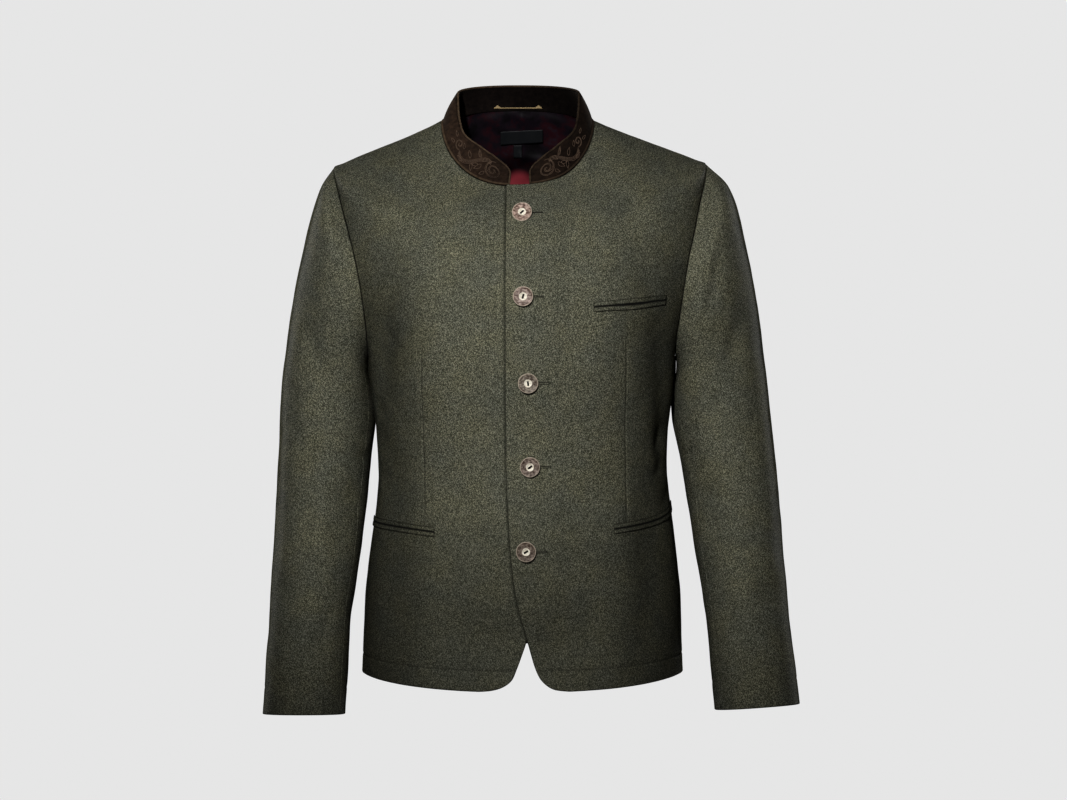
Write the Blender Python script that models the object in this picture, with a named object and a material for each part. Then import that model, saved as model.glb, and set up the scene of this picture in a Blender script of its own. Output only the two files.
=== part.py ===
"""Stand-collar wool jacket in the European folk style, worn shape with nobody in it.

Metres, +Z up. The front faces -Y and the wearer's left is at +X. The origin lies between the
two points where neck and shoulder meet. Each cut piece of cloth is a wall of its own, 0.3 mm
or more from its neighbours at the seams. A place on the body is given as a tailor gives it:
how far round from the centre front, and how high.
"""
import math
from functools import lru_cache

import bmesh
import bpy
import numpy as np
from mathutils import Matrix, Vector

# Cloth walls and the room left between pieces.
WOOL = 0.0020
SUEDE = 0.0016
COLLAR_LINING = 0.0013
SATIN = 0.0010
SEAM_GAP = 0.0004
ARMHOLE_GAP = 0.0005
LAP_CLEARANCE = 0.0006

# The body, from hem to neck seam. Heights are given at the side, the front and the back, with
# what the wearer's left side has more.
BODY_COLUMNS = (
    "z_side", "z_front", "z_back", "half_width", "front", "back", "square", "dip", "x_mid", "left_up",
)
BODY_STATIONS = (
    # name       z_side   z_front  z_back   half_w  front   back    square dip   x_mid   left_up
    ("hem",      -0.6820, -0.6965, -0.6600, 0.1965, 0.1380, 0.1190, 2.35, 2.00, 0.0012, 0.0000),
    ("hip",      -0.5980, -0.6040, -0.5900, 0.1938, 0.1370, 0.1185, 2.35, 1.60, 0.0020, 0.0000),
    ("pockets",  -0.5120, -0.5140, -0.5100, 0.1852, 0.1335, 0.1100, 2.38, 1.40, 0.0034, 0.0000),
    ("waist",    -0.4400, -0.4400, -0.4400, 0.1774, 0.1300, 0.1010, 2.42, 1.40, 0.0028, 0.0000),
    ("low ribs", -0.3880, -0.3880, -0.3880, 0.1796, 0.1325, 0.1035, 2.44, 1.40, 0.0016, 0.0000),
    ("ribs",     -0.3500, -0.3490, -0.3500, 0.1838, 0.1365, 0.1080, 2.46, 1.40, 0.0013, 0.0000),
    ("underarm", -0.3000, -0.2960, -0.3000, 0.1875, 0.1410, 0.1175, 2.48, 1.40, 0.0012, 0.0000),
    ("chest",    -0.2260, -0.2350, -0.2240, 0.2070, 0.1405, 0.1245, 2.48, 1.40, 0.0015, 0.0000),
    ("blades",   -0.1400, -0.1780, -0.1400, 0.2222, 0.1290, 0.1235, 2.46, 1.40, 0.0008, 0.0015),
    ("tip",      -0.0640, -0.1390, -0.0740, 0.2285, 0.1125, 0.1085, 2.44, 1.38, -0.0015, 0.0040),
    ("edge",     -0.0590, -0.1345, -0.0660, 0.2170, 0.1095, 0.1050, 2.44, 1.38, -0.0018, 0.0040),
    ("yoke",     -0.0350, -0.1130, -0.0260, 0.1570, 0.0945, 0.0870, 2.46, 1.36, -0.0030, 0.0026),
    ("neck",     -0.0090, -0.0924, 0.0145,  0.0930, 0.0780, 0.0660, 2.50, 1.35, -0.0040, 0.0000),
)
UNDERARM = 6
TIP = 9
RING_SAMPLES = 721
FRONT_COLUMNS = 11
BACK_COLUMNS = 10
ARMHOLE_STEPS = 12
NECK_DROP = 0.0014

# How far forward and back the armhole is cut, as a share of the body's depth there.
ARMHOLE_FRONT_SHARE = 0.50
ARMHOLE_BACK_SHARE = 0.54

# The fronts' edges: the upper one, which shows, and the lower one, which shows below the apex.
EDGE_COLUMNS = ("z", "x")
LAP_EDGE = (
    (-0.0908, -0.0177),
    (-0.1600, -0.0184),
    (-0.3500, -0.0183),
    (-0.4335, -0.0172),
    (-0.4926, -0.0148),
    (-0.5575, -0.0100),
    (-0.5987, -0.0029),
    (-0.6353, 0.0077),
    (-0.6519, 0.0124),
    (-0.6672, 0.0171),
    (-0.6802, 0.0231),
    (-0.6897, 0.0325),
    (-0.6945, 0.0425),
    (-0.6965, 0.0580),
)
UNDER_EDGE = (
    (-0.0908, 0.0200),
    (-0.3500, 0.0240),
    (-0.5000, 0.0235),
    (-0.5600, 0.0205),
    (-0.6000, 0.0150),
    (-0.6353, 0.0077),
    (-0.6566, 0.0006),
    (-0.6719, -0.0053),
    (-0.6814, -0.0095),
    (-0.6870, -0.0150),
    (-0.6920, -0.0240),
    (-0.6955, -0.0380),
    (-0.6965, -0.0500),
)
LAP_REACH = 0.006
LAP_RAMP = 0.034

# The stand collar: its top edge is a ring like the body's, and its front corners are round.
COLLAR_TOP = ("collar top", 0.0270, -0.0720, 0.0412, 0.0760, 0.0660, 0.0600, 2.45, 1.05, -0.0030, 0.0000)
COLLAR_END_RIGHT = -0.0152
COLLAR_END_LEFT = 0.0126
COLLAR_CORNER = 0.007
COLLAR_BULGE = 0.0015
COLLAR_STEPS = 15
PIPING_RADIUS = 0.0013
PIPING_CLEARANCE = 0.0005

# The sleeves, ring by ring from the armhole to the cuff: the outermost and innermost points
# as seen from the front, the middle of the depth and half the depth.
SLEEVE_COLUMNS = ("x_out", "z_out", "x_in", "z_in", "y_mid", "half_depth")
SLEEVE_RIGHT = (
    (0.2450, -0.0880, 0.1885, -0.3035, 0.0010, 0.0725),
    (0.2640, -0.1480, 0.1885, -0.3160, 0.0080, 0.0740),
    (0.2825, -0.2350, 0.1828, -0.3420, 0.0200, 0.0730),
    (0.2970, -0.3400, 0.1797, -0.3720, 0.0260, 0.0700),
    (0.3010, -0.4120, 0.1845, -0.4180, 0.0220, 0.0660),
    (0.3023, -0.4600, 0.1885, -0.4600, 0.0160, 0.0620),
    (0.3050, -0.5326, 0.1965, -0.5326, 0.0040, 0.0560),
    (0.3085, -0.6200, 0.2080, -0.6200, -0.0140, 0.0500),
    (0.3137, -0.7325, 0.2134, -0.7325, -0.0350, 0.0450),
)
SLEEVE_LEFT = (
    (0.2545, -0.0880, 0.1910, -0.3035, 0.0010, 0.0725),
    (0.2745, -0.1480, 0.1905, -0.3160, 0.0080, 0.0740),
    (0.2925, -0.2350, 0.1852, -0.3420, 0.0200, 0.0730),
    (0.3060, -0.3400, 0.1870, -0.3720, 0.0250, 0.0700),
    (0.3140, -0.4120, 0.1965, -0.4180, 0.0210, 0.0660),
    (0.3185, -0.4600, 0.2035, -0.4600, 0.0160, 0.0620),
    (0.3232, -0.5326, 0.2142, -0.5326, 0.0040, 0.0560),
    (0.3292, -0.6200, 0.2272, -0.6200, -0.0140, 0.0500),
    (0.3397, -0.7200, 0.2362, -0.7275, -0.0350, 0.0450),
)
CUFF_LIFT = 0.0030
SLEEVE_SQUARE = 2.2
FRONT_SLEEVE_SEAM = 150.0
BACK_SLEEVE_SEAM = -105.0

# Soft folds in the cloth: a trough has a negative depth, a ridge a positive one.
BODY_FOLD_COLUMNS = ("around", "height", "tilt", "length", "width", "depth")
BODY_FOLDS = (
    (0.135, -0.125, -18.0, 0.090, 0.017, -0.0030),
    (-0.130, -0.130, 16.0, 0.080, 0.019, -0.0022),
    (0.205, -0.395, 62.0, 0.085, 0.016, -0.0026),
    (-0.208, -0.400, -60.0, 0.080, 0.017, -0.0024),
    (0.095, -0.455, 70.0, 0.100, 0.020, -0.0016),
    (-0.085, -0.465, -72.0, 0.095, 0.021, -0.0015),
    (0.420, -0.400, 60.0, 0.110, 0.020, -0.0030),
    (-0.425, -0.410, -58.0, 0.105, 0.019, -0.0028),
    (0.385, -0.190, 20.0, 0.120, 0.020, -0.0026),
    (-0.385, -0.195, -20.0, 0.120, 0.020, -0.0026),
)
SLEEVE_FOLD_COLUMNS = ("along", "around", "tilt", "length", "width", "depth")
SLEEVE_FOLDS = (
    (0.130, 70.0, 25.0, 0.085, 0.015, -0.0030),
    (0.300, 128.0, 68.0, 0.095, 0.013, -0.0036),
    (0.335, 118.0, 60.0, 0.080, 0.012, -0.0028),
    (0.270, -70.0, 62.0, 0.085, 0.014, -0.0026),
    (0.420, 60.0, 48.0, 0.090, 0.016, -0.0022),
)

# Buttons, by how far right of the middle and how high they sit.
BUTTON_PLACES = (
    (0.0017, -0.1262),
    (0.0030, -0.2289),
    (0.0089, -0.3305),
    (0.0112, -0.4299),
    (0.0065, -0.5303),
)
BUTTON_RADIUS = 0.0120
BUTTON_THICK = 0.0036
BUTTON_DISH = 0.0046
BUTTON_RIM = 0.0013
BUTTON_LIFT = 0.0006
BUTTON_STEPS = 16

# Jetted pockets: both ends of the mouth as girth from the centre front and height.
JET_THICK = 0.0012
JET_LIFT = 0.00045
JET_MOUTH = 0.0004
POCKET_COLUMNS = ("name", "start", "z_start", "end", "z_end", "rise", "jet", "steps")
POCKETS = (
    ("chest_pocket", 0.0850, -0.2405, 0.1850, -0.2308, 0.0000, 0.0056, 10),
    ("left_pocket", 0.1090, -0.5040, 0.2500, -0.4790, -0.0030, 0.0054, 14),
    ("right_pocket", -0.1070, -0.5075, -0.2500, -0.4975, 0.0015, 0.0054, 14),
)

# What shows inside the neck.
LINING_CLEARANCE = 0.0007
LINING_INSET = 0.004
TAPE_THICK = 0.0007
TAPE_COLUMNS = ("name", "x_left", "x_right", "z_top", "z_low", "tilt")
TAPES = (
    ("neck_label", -0.0264, 0.0277, -0.0100, -0.0262, 2.5),
    ("size_tab", -0.0099, 0.0011, -0.0276, -0.0405, 0.0),
)
LOOP_SPAN = 0.062
LOOP_RADIUS = 0.0017
LOOP_RISE = 0.0060
LOOP_CLEARANCE = 0.0009

WOOL_COLOUR = (0.105, 0.108, 0.074)
SUEDE_COLOUR = (0.055, 0.030, 0.018)
PIPING_COLOUR = (0.150, 0.085, 0.045)
SATIN_COLOUR = (0.050, 0.014, 0.028)
LABEL_COLOUR = (0.030, 0.032, 0.038)
GOLD_COLOUR = (0.520, 0.330, 0.080)
HORN_COLOUR = (0.420, 0.300, 0.230)


def column(table, columns, name, first=0):
    """Read one named column of a table as an array."""
    place = columns.index(name) + first
    return np.array([row[place] for row in table], dtype=float)


def smooth_values(knots, values, at):
    """Read a smooth curve through the knots that never swings past its own values."""
    knots = np.asarray(knots, dtype=float)
    values = np.asarray(values, dtype=float)
    trail = (1,) * (values.ndim - 1)
    step = np.diff(knots).reshape((-1,) + trail)
    slope = np.diff(values, axis=0) / step
    tangent = np.empty_like(values)
    tangent[0] = slope[0]
    tangent[-1] = slope[-1]
    before, after = slope[:-1], slope[1:]
    rising = before * after > 0.0
    total = np.where(rising, before + after, 1.0)
    tangent[1:-1] = np.where(rising, 2.0 * before * after / total, 0.0)
    at = np.clip(np.atleast_1d(np.asarray(at, dtype=float)), knots[0], knots[-1])
    cell = np.clip(np.searchsorted(knots, at, side="right") - 1, 0, len(knots) - 2)
    width = np.diff(knots)[cell]
    share = ((at - knots[cell]) / width).reshape((-1,) + trail)
    width = width.reshape((-1,) + trail)
    square, cube = share ** 2, share ** 3
    return (
        (2.0 * cube - 3.0 * square + 1.0) * values[cell]
        + (cube - 2.0 * square + share) * width * tangent[cell]
        + (3.0 * square - 2.0 * cube) * values[cell + 1]
        + (cube - square) * width * tangent[cell + 1]
    )


def unit(vectors):
    """Scale each vector to length one."""
    return vectors / np.linalg.norm(vectors, axis=-1, keepdims=True)


def ease(share):
    """Smooth step from 0 to 1."""
    share = np.clip(share, 0.0, 1.0)
    return share * share * (3.0 - 2.0 * share)


def side_knots():
    """Spacing of the body stations, measured along the side and over the shoulder."""
    wide = column(BODY_STATIONS, BODY_COLUMNS, "half_width", 1)
    high = column(BODY_STATIONS, BODY_COLUMNS, "z_side", 1)
    steps = np.hypot(np.diff(wide), np.diff(high))
    return np.concatenate([[0.0], np.cumsum(steps)])


BODY_KNOTS = side_knots()
BODY_VALUES = np.array([row[1:] for row in BODY_STATIONS], dtype=float)
V_UNDERARM = BODY_KNOTS[UNDERARM]
V_TIP = BODY_KNOTS[TIP]
V_NECK = BODY_KNOTS[-1]


def ring_from(values):
    """Girth from the centre front, then x, y and z along the left half of one ring."""
    row = dict(zip(BODY_COLUMNS, values))
    turn = np.linspace(0.0, math.pi, RING_SAMPLES)
    wide = row["half_width"] * np.abs(np.sin(turn)) ** (2.0 / row["square"])
    share = np.abs(np.cos(turn)) ** (2.0 / row["square"])
    in_front = turn <= math.pi / 2.0
    deep = np.where(in_front, -row["front"], row["back"]) * share
    end_z = np.where(in_front, row["z_front"], row["z_back"])
    high = row["z_side"] + (end_z - row["z_side"]) * share ** row["dip"]
    steps = np.sqrt(np.diff(wide) ** 2 + np.diff(deep) ** 2 + np.diff(high) ** 2)
    girth = np.concatenate([[0.0], np.cumsum(steps)])
    return {
        "girth": girth, "wide": wide, "deep": deep, "high": high, "share": share,
        "x_mid": row["x_mid"], "left_up": row["left_up"] / row["half_width"],
    }


@lru_cache(maxsize=4096)
def body_ring(v):
    """The ring of the body at distance v up from the hem."""
    return ring_from(smooth_values(BODY_KNOTS, BODY_VALUES, v)[0])


def ring_points(ring, around):
    """Points of a ring at the given girths; a negative girth is on the wearer's right."""
    girth = np.abs(around)
    side = np.where(np.asarray(around) < 0.0, -1.0, 1.0)
    across = side * np.interp(girth, ring["girth"], ring["wide"])
    y = np.interp(girth, ring["girth"], ring["deep"])
    z = np.interp(girth, ring["girth"], ring["high"]) + ring["left_up"] * np.maximum(across, 0.0)
    return np.stack([ring["x_mid"] + across, y, z], axis=-1)


def quarter_girth(v):
    """Girth from the centre front to the side of the body."""
    ring = body_ring(v)
    return ring["girth"][RING_SAMPLES // 2]


def half_girth(v):
    """Girth from the centre front to the centre back."""
    return body_ring(v)["girth"][-1]


def girth_at_x(v, x):
    """Girth, signed, at which the front half of the ring passes x."""
    ring = body_ring(v)
    half = RING_SAMPLES // 2 + 1
    across = x - ring["x_mid"]
    return math.copysign(np.interp(abs(across), ring["wide"][:half], ring["girth"][:half]), across)


def girth_at_share(v, share, back):
    """Girth at which the ring is at this share of its front or back depth."""
    ring = body_ring(v)
    half = RING_SAMPLES // 2
    if back:
        return np.interp(share, ring["share"][half:], ring["girth"][half:])
    return np.interp(share, ring["share"][half::-1], ring["girth"][half::-1])


def trough(across, along, fold):
    """Depth of one soft fold at a distance across and along its line."""
    reach = np.clip(np.abs(along) / (0.5 * fold["length"]), 0.0, 1.0)
    return fold["depth"] * np.exp(-((across / fold["width"]) ** 2)) * (1.0 - ease(reach))


def body_relief(points, around):
    """How far the folds move points of the body in or out."""
    moved = np.zeros(len(points))
    for row in BODY_FOLDS:
        fold = dict(zip(BODY_FOLD_COLUMNS, row))
        tilt = math.radians(fold["tilt"])
        dx = around - fold["around"]
        dz = points[:, 2] - fold["height"]
        along = dz * math.cos(tilt) + dx * math.sin(tilt)
        across = dx * math.cos(tilt) - dz * math.sin(tilt)
        moved += trough(across, along, fold)
    return moved


def body_normals(v, around):
    """Outward directions of the body at girths along the ring at v."""
    reach = 0.004
    around = np.asarray(around, dtype=float)
    low, high = max(v - reach, 0.0), min(v + reach, V_NECK)
    up = ring_points(body_ring(high), around) - ring_points(body_ring(low), around)
    on = ring_points(body_ring(v), around + reach) - ring_points(body_ring(v), around - reach)
    return unit(np.cross(on, up))


def body_row(v, around, out=0.0):
    """Points of the body along the ring at v, moved out from the cloth's outer face."""
    around = np.asarray(around, dtype=float)
    points = ring_points(body_ring(v), around)
    lift = body_relief(points, around) + out
    return points + body_normals(v, around) * np.reshape(lift, (-1, 1))


def v_at(around, height):
    """How far up from the hem the body reaches a height at this girth."""
    low, high = 0.0, float(V_NECK)
    for _ in range(30):
        middle = 0.5 * (low + high)
        if ring_points(body_ring(middle), np.array([around]))[0, 2] < height:
            low = middle
        else:
            high = middle
    return 0.5 * (low + high)


def armhole_place(turn):
    """Station height and girth of the armhole, from 0 at the tip through 180 at the underarm.

    The front of the armhole is at 90 degrees and the back at -90 degrees.
    """
    sweep = abs(math.atan2(math.sin(turn), math.cos(turn)))
    v = 0.5 * (V_UNDERARM + V_TIP) + 0.5 * (V_TIP - V_UNDERARM) * math.cos(sweep)
    back = math.sin(turn) < 0.0
    widest = ARMHOLE_BACK_SHARE if back else ARMHOLE_FRONT_SHARE
    return v, girth_at_share(v, widest * math.sin(sweep), back)


def shoulder_heights():
    """Rows of the body panels from the shoulder tip to the neck."""
    return [float(v) for v in np.linspace(V_TIP, V_NECK, 6)]


def panel_heights():
    """Rows of the body panels: close at the round hem corners and at both ends of the armhole."""
    corner = BODY_KNOTS[1] * np.linspace(0.0, 1.0, 8) ** 1.7
    side = np.linspace(BODY_KNOTS[1], V_UNDERARM, 11)[1:]
    sweep = np.linspace(math.pi, 0.0, ARMHOLE_STEPS + 1)[1:]
    armhole = 0.5 * (V_UNDERARM + V_TIP) + 0.5 * (V_TIP - V_UNDERARM) * np.cos(sweep)
    return [float(v) for v in np.concatenate([corner, side, armhole, shoulder_heights()[1:]])]


def outer_girth(v, back):
    """Girth of the side seam, the armhole or the shoulder seam, whichever bounds the panel."""
    if v <= V_UNDERARM or v >= V_TIP:
        return quarter_girth(v)
    middle, reach = 0.5 * (V_UNDERARM + V_TIP), 0.5 * (V_TIP - V_UNDERARM)
    sweep = math.acos(np.clip((v - middle) / reach, -1.0, 1.0))
    widest = ARMHOLE_BACK_SHARE if back else ARMHOLE_FRONT_SHARE
    return girth_at_share(v, widest * math.sin(sweep), back)


def edge_x(table, z):
    """Where a front's edge runs at a height."""
    heights = column(table, EDGE_COLUMNS, "z")[::-1]
    edges = column(table, EDGE_COLUMNS, "x")[::-1]
    return float(smooth_values(heights, edges, z)[0])


def front_girths(v, columns, side):
    """Girths across a front panel, from its front edge to its outer seam."""
    front_z = body_ring(v)["high"][0]
    start = girth_at_x(v, edge_x(LAP_EDGE if side > 0 else UNDER_EDGE, front_z)) * side
    end = outer_girth(v, back=False) - 0.5 * SEAM_GAP
    spread = np.linspace(0.0, 1.0, columns + 1) ** 1.15
    return side * (start + (end - start) * spread)


def back_girths(v, columns, side):
    """Girths across a back panel, from its outer seam to the centre back."""
    start = outer_girth(v, back=True) + 0.5 * SEAM_GAP
    end = half_girth(v) - 0.5 * SEAM_GAP
    return side * np.linspace(start, end, columns + 1)


def lap_lift(v, around):
    """How far the left front stands out where it lies on the right front."""
    front_z = body_ring(v)["high"][0]
    cover = max(girth_at_x(v, edge_x(UNDER_EDGE, front_z)), 0.0) + LAP_REACH
    share = (np.asarray(around) - cover) / LAP_RAMP
    return (WOOL + LAP_CLEARANCE) * (1.0 - ease(share))


def make_material(name, colour, roughness, metallic=0.0):
    """A plain surface of one colour."""
    material = bpy.data.materials.new(name)
    material.use_nodes = True
    shader = material.node_tree.nodes["Principled BSDF"]
    shader.inputs["Base Color"].default_value = (*colour, 1.0)
    shader.inputs["Roughness"].default_value = roughness
    shader.inputs["Metallic"].default_value = metallic
    material.diffuse_color = (*colour, 1.0)
    return material


def add_object(name, mesh_edit, material):
    """Turn an edited mesh into a named object that faces outward."""
    bmesh.ops.recalc_face_normals(mesh_edit, faces=mesh_edit.faces)
    mesh = bpy.data.meshes.new(name)
    mesh_edit.to_mesh(mesh)
    mesh_edit.free()
    mesh.shade_smooth()
    mesh.set_sharp_from_angle(angle=math.radians(40.0))
    mesh.materials.append(material)
    piece = bpy.data.objects.new(name, mesh)
    bpy.context.scene.collection.objects.link(piece)
    return piece


def wall(name, outer, inner, material):
    """Close two grids of points, one inside the other, into one wall of cloth."""
    rows, columns = outer.shape[:2]
    edit = bmesh.new()
    skins = []
    for grid in (outer, inner):
        skins.append([[edit.verts.new(point) for point in row] for row in grid])
    for skin in skins:
        for i in range(rows - 1):
            for j in range(columns - 1):
                edit.faces.new((skin[i][j], skin[i][j + 1], skin[i + 1][j + 1], skin[i + 1][j]))
    rim = [(0, j) for j in range(columns)]
    rim += [(i, columns - 1) for i in range(1, rows)]
    rim += [(rows - 1, j) for j in range(columns - 2, -1, -1)]
    rim += [(i, 0) for i in range(rows - 2, 0, -1)]
    for here, there in zip(rim, rim[1:] + rim[:1]):
        edit.faces.new((
            skins[0][here[0]][here[1]],
            skins[0][there[0]][there[1]],
            skins[1][there[0]][there[1]],
            skins[1][here[0]][here[1]],
        ))
    return add_object(name, edit, material)


def tube(name, path, radius, material, sides=8):
    """A round cord or piping with flat ends along a smooth list of points."""
    edit = bmesh.new()
    path = np.asarray(path, dtype=float)
    tangents = unit(np.gradient(path, axis=0))
    guide = np.array([0.0, 0.0, 1.0])
    rings = []
    for point, tangent in zip(path, tangents):
        guide = unit(guide - tangent * np.dot(guide, tangent))
        other = np.cross(tangent, guide)
        turns = [2.0 * math.pi * k / sides for k in range(sides)]
        ring = [point + radius * (math.cos(a) * guide + math.sin(a) * other) for a in turns]
        rings.append([edit.verts.new(p) for p in ring])
    for lower, upper in zip(rings, rings[1:]):
        for k in range(sides):
            edit.faces.new((lower[k], lower[(k + 1) % sides], upper[(k + 1) % sides], upper[k]))
    edit.faces.new(rings[0])
    edit.faces.new(rings[-1])
    return add_object(name, edit, material)


def make_front(name, side, material):
    """A front panel from its edge to the side seam, armhole and shoulder seam."""
    outer, inner = [], []
    for v in panel_heights():
        level = min(v, V_NECK - NECK_DROP)
        around = front_girths(v, FRONT_COLUMNS, side)
        lift = lap_lift(v, around) if side > 0 else np.zeros(len(around))
        outer.append(body_row(level, around, lift))
        inner.append(body_row(level, around, lift - WOOL))
    return wall(name, np.array(outer), np.array(inner), material)


def make_back(name, side, material):
    """A back panel from the side seam to the centre back."""
    outer, inner = [], []
    for v in panel_heights():
        level = min(v, V_NECK - NECK_DROP)
        around = back_girths(v, BACK_COLUMNS, side)
        outer.append(body_row(level, around))
        inner.append(body_row(level, around, -WOOL))
    return wall(name, np.array(outer), np.array(inner), material)


def armhole_start(side, turn):
    """First point of the sleeve: the armhole's edge, moved off the panel by the gap."""
    v, around = armhole_place(turn)
    step = 0.02
    here = body_row(v, [side * around])[0]
    places = [armhole_place(turn + offset) for offset in (-step, step)]
    before, after = [body_row(p[0], [side * p[1]])[0] for p in places]
    outward = body_normals(v, [side * around])[0]
    away = np.cross(after - before, outward)
    away = away / np.linalg.norm(away)
    middle = np.array([side * 0.2, 0.0, -0.185])
    if np.dot(away, middle - here) < 0.0:
        away = -away
    return here + ARMHOLE_GAP * away


def sleeve_rings(side, turns):
    """Points of every ring of a sleeve at the given turns round it."""
    table = SLEEVE_LEFT if side > 0 else SLEEVE_RIGHT
    rings = [np.array([armhole_start(side, turn) for turn in turns])]
    power = 2.0 / SLEEVE_SQUARE
    cos, sin = np.cos(turns), np.sin(turns)
    outward = np.sign(cos) * np.abs(cos) ** power
    forward = np.sign(sin) * np.abs(sin) ** power
    for row in table:
        ring = dict(zip(SLEEVE_COLUMNS, row))
        x = side * (0.5 * (ring["x_out"] + ring["x_in"]) + 0.5 * (ring["x_out"] - ring["x_in"]) * outward)
        z = 0.5 * (ring["z_out"] + ring["z_in"]) + 0.5 * (ring["z_out"] - ring["z_in"]) * outward
        y = ring["y_mid"] - ring["half_depth"] * forward
        rings.append(np.stack([x, y, z], axis=-1))
    rings[-1][:, 2] += CUFF_LIFT * np.maximum(forward, 0.0)
    return np.array(rings)


def sleeve_knots(side):
    """Spacing of the sleeve's rings, measured down its middle from the armhole."""
    turns = np.linspace(0.0, 2.0 * math.pi, 16, endpoint=False)
    middles = sleeve_rings(side, turns).mean(axis=1)
    steps = np.linalg.norm(np.diff(middles, axis=0), axis=1)
    return np.concatenate([[0.0], np.cumsum(steps)])


def sleeve_relief(along, turns, radius):
    """How far the folds move a ring of the sleeve in or out."""
    moved = np.zeros(len(turns))
    for row in SLEEVE_FOLDS:
        fold = dict(zip(SLEEVE_FOLD_COLUMNS, row))
        tilt = math.radians(fold["tilt"])
        away = turns - math.radians(fold["around"])
        dx = np.arctan2(np.sin(away), np.cos(away)) * radius
        dz = along - fold["along"]
        line = dz * math.cos(tilt) + dx * math.sin(tilt)
        across = dx * math.cos(tilt) - dz * math.sin(tilt)
        moved += trough(across, line, fold)
    return moved


def sleeve_grid(side, turns, lengths):
    """Outer and inner points of a stretch of sleeve."""
    reach_turn, reach_along = 0.03, 0.003
    knots = sleeve_knots(side)
    here = smooth_values(knots, sleeve_rings(side, turns), lengths)
    left = smooth_values(knots, sleeve_rings(side, turns - reach_turn), lengths)
    right = smooth_values(knots, sleeve_rings(side, turns + reach_turn), lengths)
    rings = sleeve_rings(side, turns)
    up = smooth_values(knots, rings, np.maximum(lengths - reach_along, 0.0))
    down = smooth_values(knots, rings, np.minimum(lengths + reach_along, knots[-1]))
    outward = unit(np.cross(up - down, right - left)) * side
    radius = 0.06
    relief = np.array([sleeve_relief(length, turns, radius) for length in lengths])
    fade = ease(lengths / 0.05)[:, None]
    outer = here + outward * (relief * fade)[..., None]
    return outer, outer - outward * WOOL


def make_sleeve(name, side, first_turn, last_turn, material):
    """One cut piece of a sleeve, from the armhole to the cuff.

    Its columns start at the rows of the body panels, so that both run evenly along the armhole.
    """
    knots = sleeve_knots(side)
    head = knots[4] * np.linspace(0.0, 1.0, 9) ** 1.3
    arm = np.linspace(knots[4], knots[-1], 12)[1:]
    half_gap = math.degrees(0.5 * SEAM_GAP / 0.055)
    columns = round((last_turn - first_turn) / (180.0 / ARMHOLE_STEPS))
    turns = np.linspace(first_turn, last_turn, columns + 1)
    turns[0] += half_gap
    turns[-1] -= half_gap
    turns = np.radians(turns)
    outer, inner = sleeve_grid(side, turns, np.concatenate([head, arm]))
    return wall(name, outer, inner, material)


def collar_line(around, edge):
    """Points of the collar's neck seam (edge 0) or top edge (edge 1) at girths along the seam."""
    seam = body_ring(float(V_NECK))
    if edge == 0:
        return ring_points(seam, around)
    top = ring_from(COLLAR_TOP[1:])
    return ring_points(top, around * top["girth"][-1] / seam["girth"][-1])


def collar_tall(around):
    """How tall the collar stands, along its slope, at girths along the neck seam."""
    return np.linalg.norm(collar_line(around, 1) - collar_line(around, 0), axis=-1)


def collar_points(around, rise, inward):
    """Points of the stand collar, a distance up from the neck seam and in from its outer face."""
    around = np.asarray(around, dtype=float)
    share = np.asarray(rise, dtype=float) / collar_tall(around)
    lift = np.where(around > 0.0, lap_lift(float(V_NECK), around), 0.0)
    reach = 0.002

    def surface(along):
        base = collar_line(along, 0)
        return base + (collar_line(along, 1) - base) * share[:, None]

    up = collar_line(around, 1) - collar_line(around, 0)
    outward = unit(np.cross(surface(around + reach) - surface(around - reach), up))
    bulge = COLLAR_BULGE * np.sin(math.pi * np.clip(share, 0.0, 1.0))
    return surface(around) + outward * (bulge + lift - inward)[:, None]


def collar_side(end):
    """Girths along half of the neck seam, from one collar end to the centre back."""
    whole = half_girth(float(V_NECK))
    corner = COLLAR_CORNER * (1.0 - np.cos(np.linspace(0.0, math.pi / 2.0, 5)))
    steps = np.concatenate([corner, np.linspace(COLLAR_CORNER, whole - abs(end), COLLAR_STEPS)[1:]])
    return end + math.copysign(1.0, end) * steps


def collar_rise(around, end):
    """Height of the collar's top edge above the seam: full, but round at the front corner."""
    near = np.clip(COLLAR_CORNER - np.abs(around - end), 0.0, COLLAR_CORNER)
    return collar_tall(around) - COLLAR_CORNER + np.sqrt(COLLAR_CORNER ** 2 - near ** 2)


def collar_ends():
    """Girths of the right and left ends of the collar."""
    v = float(V_NECK)
    return girth_at_x(v, COLLAR_END_RIGHT), girth_at_x(v, COLLAR_END_LEFT)


def make_collar(name, depth, thickness, material):
    """One layer of the stand collar, a wall from end to end round the back of the neck."""
    outer, inner = [], []
    for end in collar_ends():
        girths = collar_side(end)
        tops = collar_rise(girths, end)
        rows = [(np.full(5, g), np.linspace(SEAM_GAP, top, 5)) for g, top in zip(girths, tops)]
        outer.append([collar_points(line, rises, depth) for line, rises in rows])
        inner.append([collar_points(line, rises, depth + thickness) for line, rises in rows])
    joined = [np.array(half[0] + half[1][-2::-1]) for half in (outer, inner)]
    return wall(name, joined[0], joined[1], material)


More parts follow.
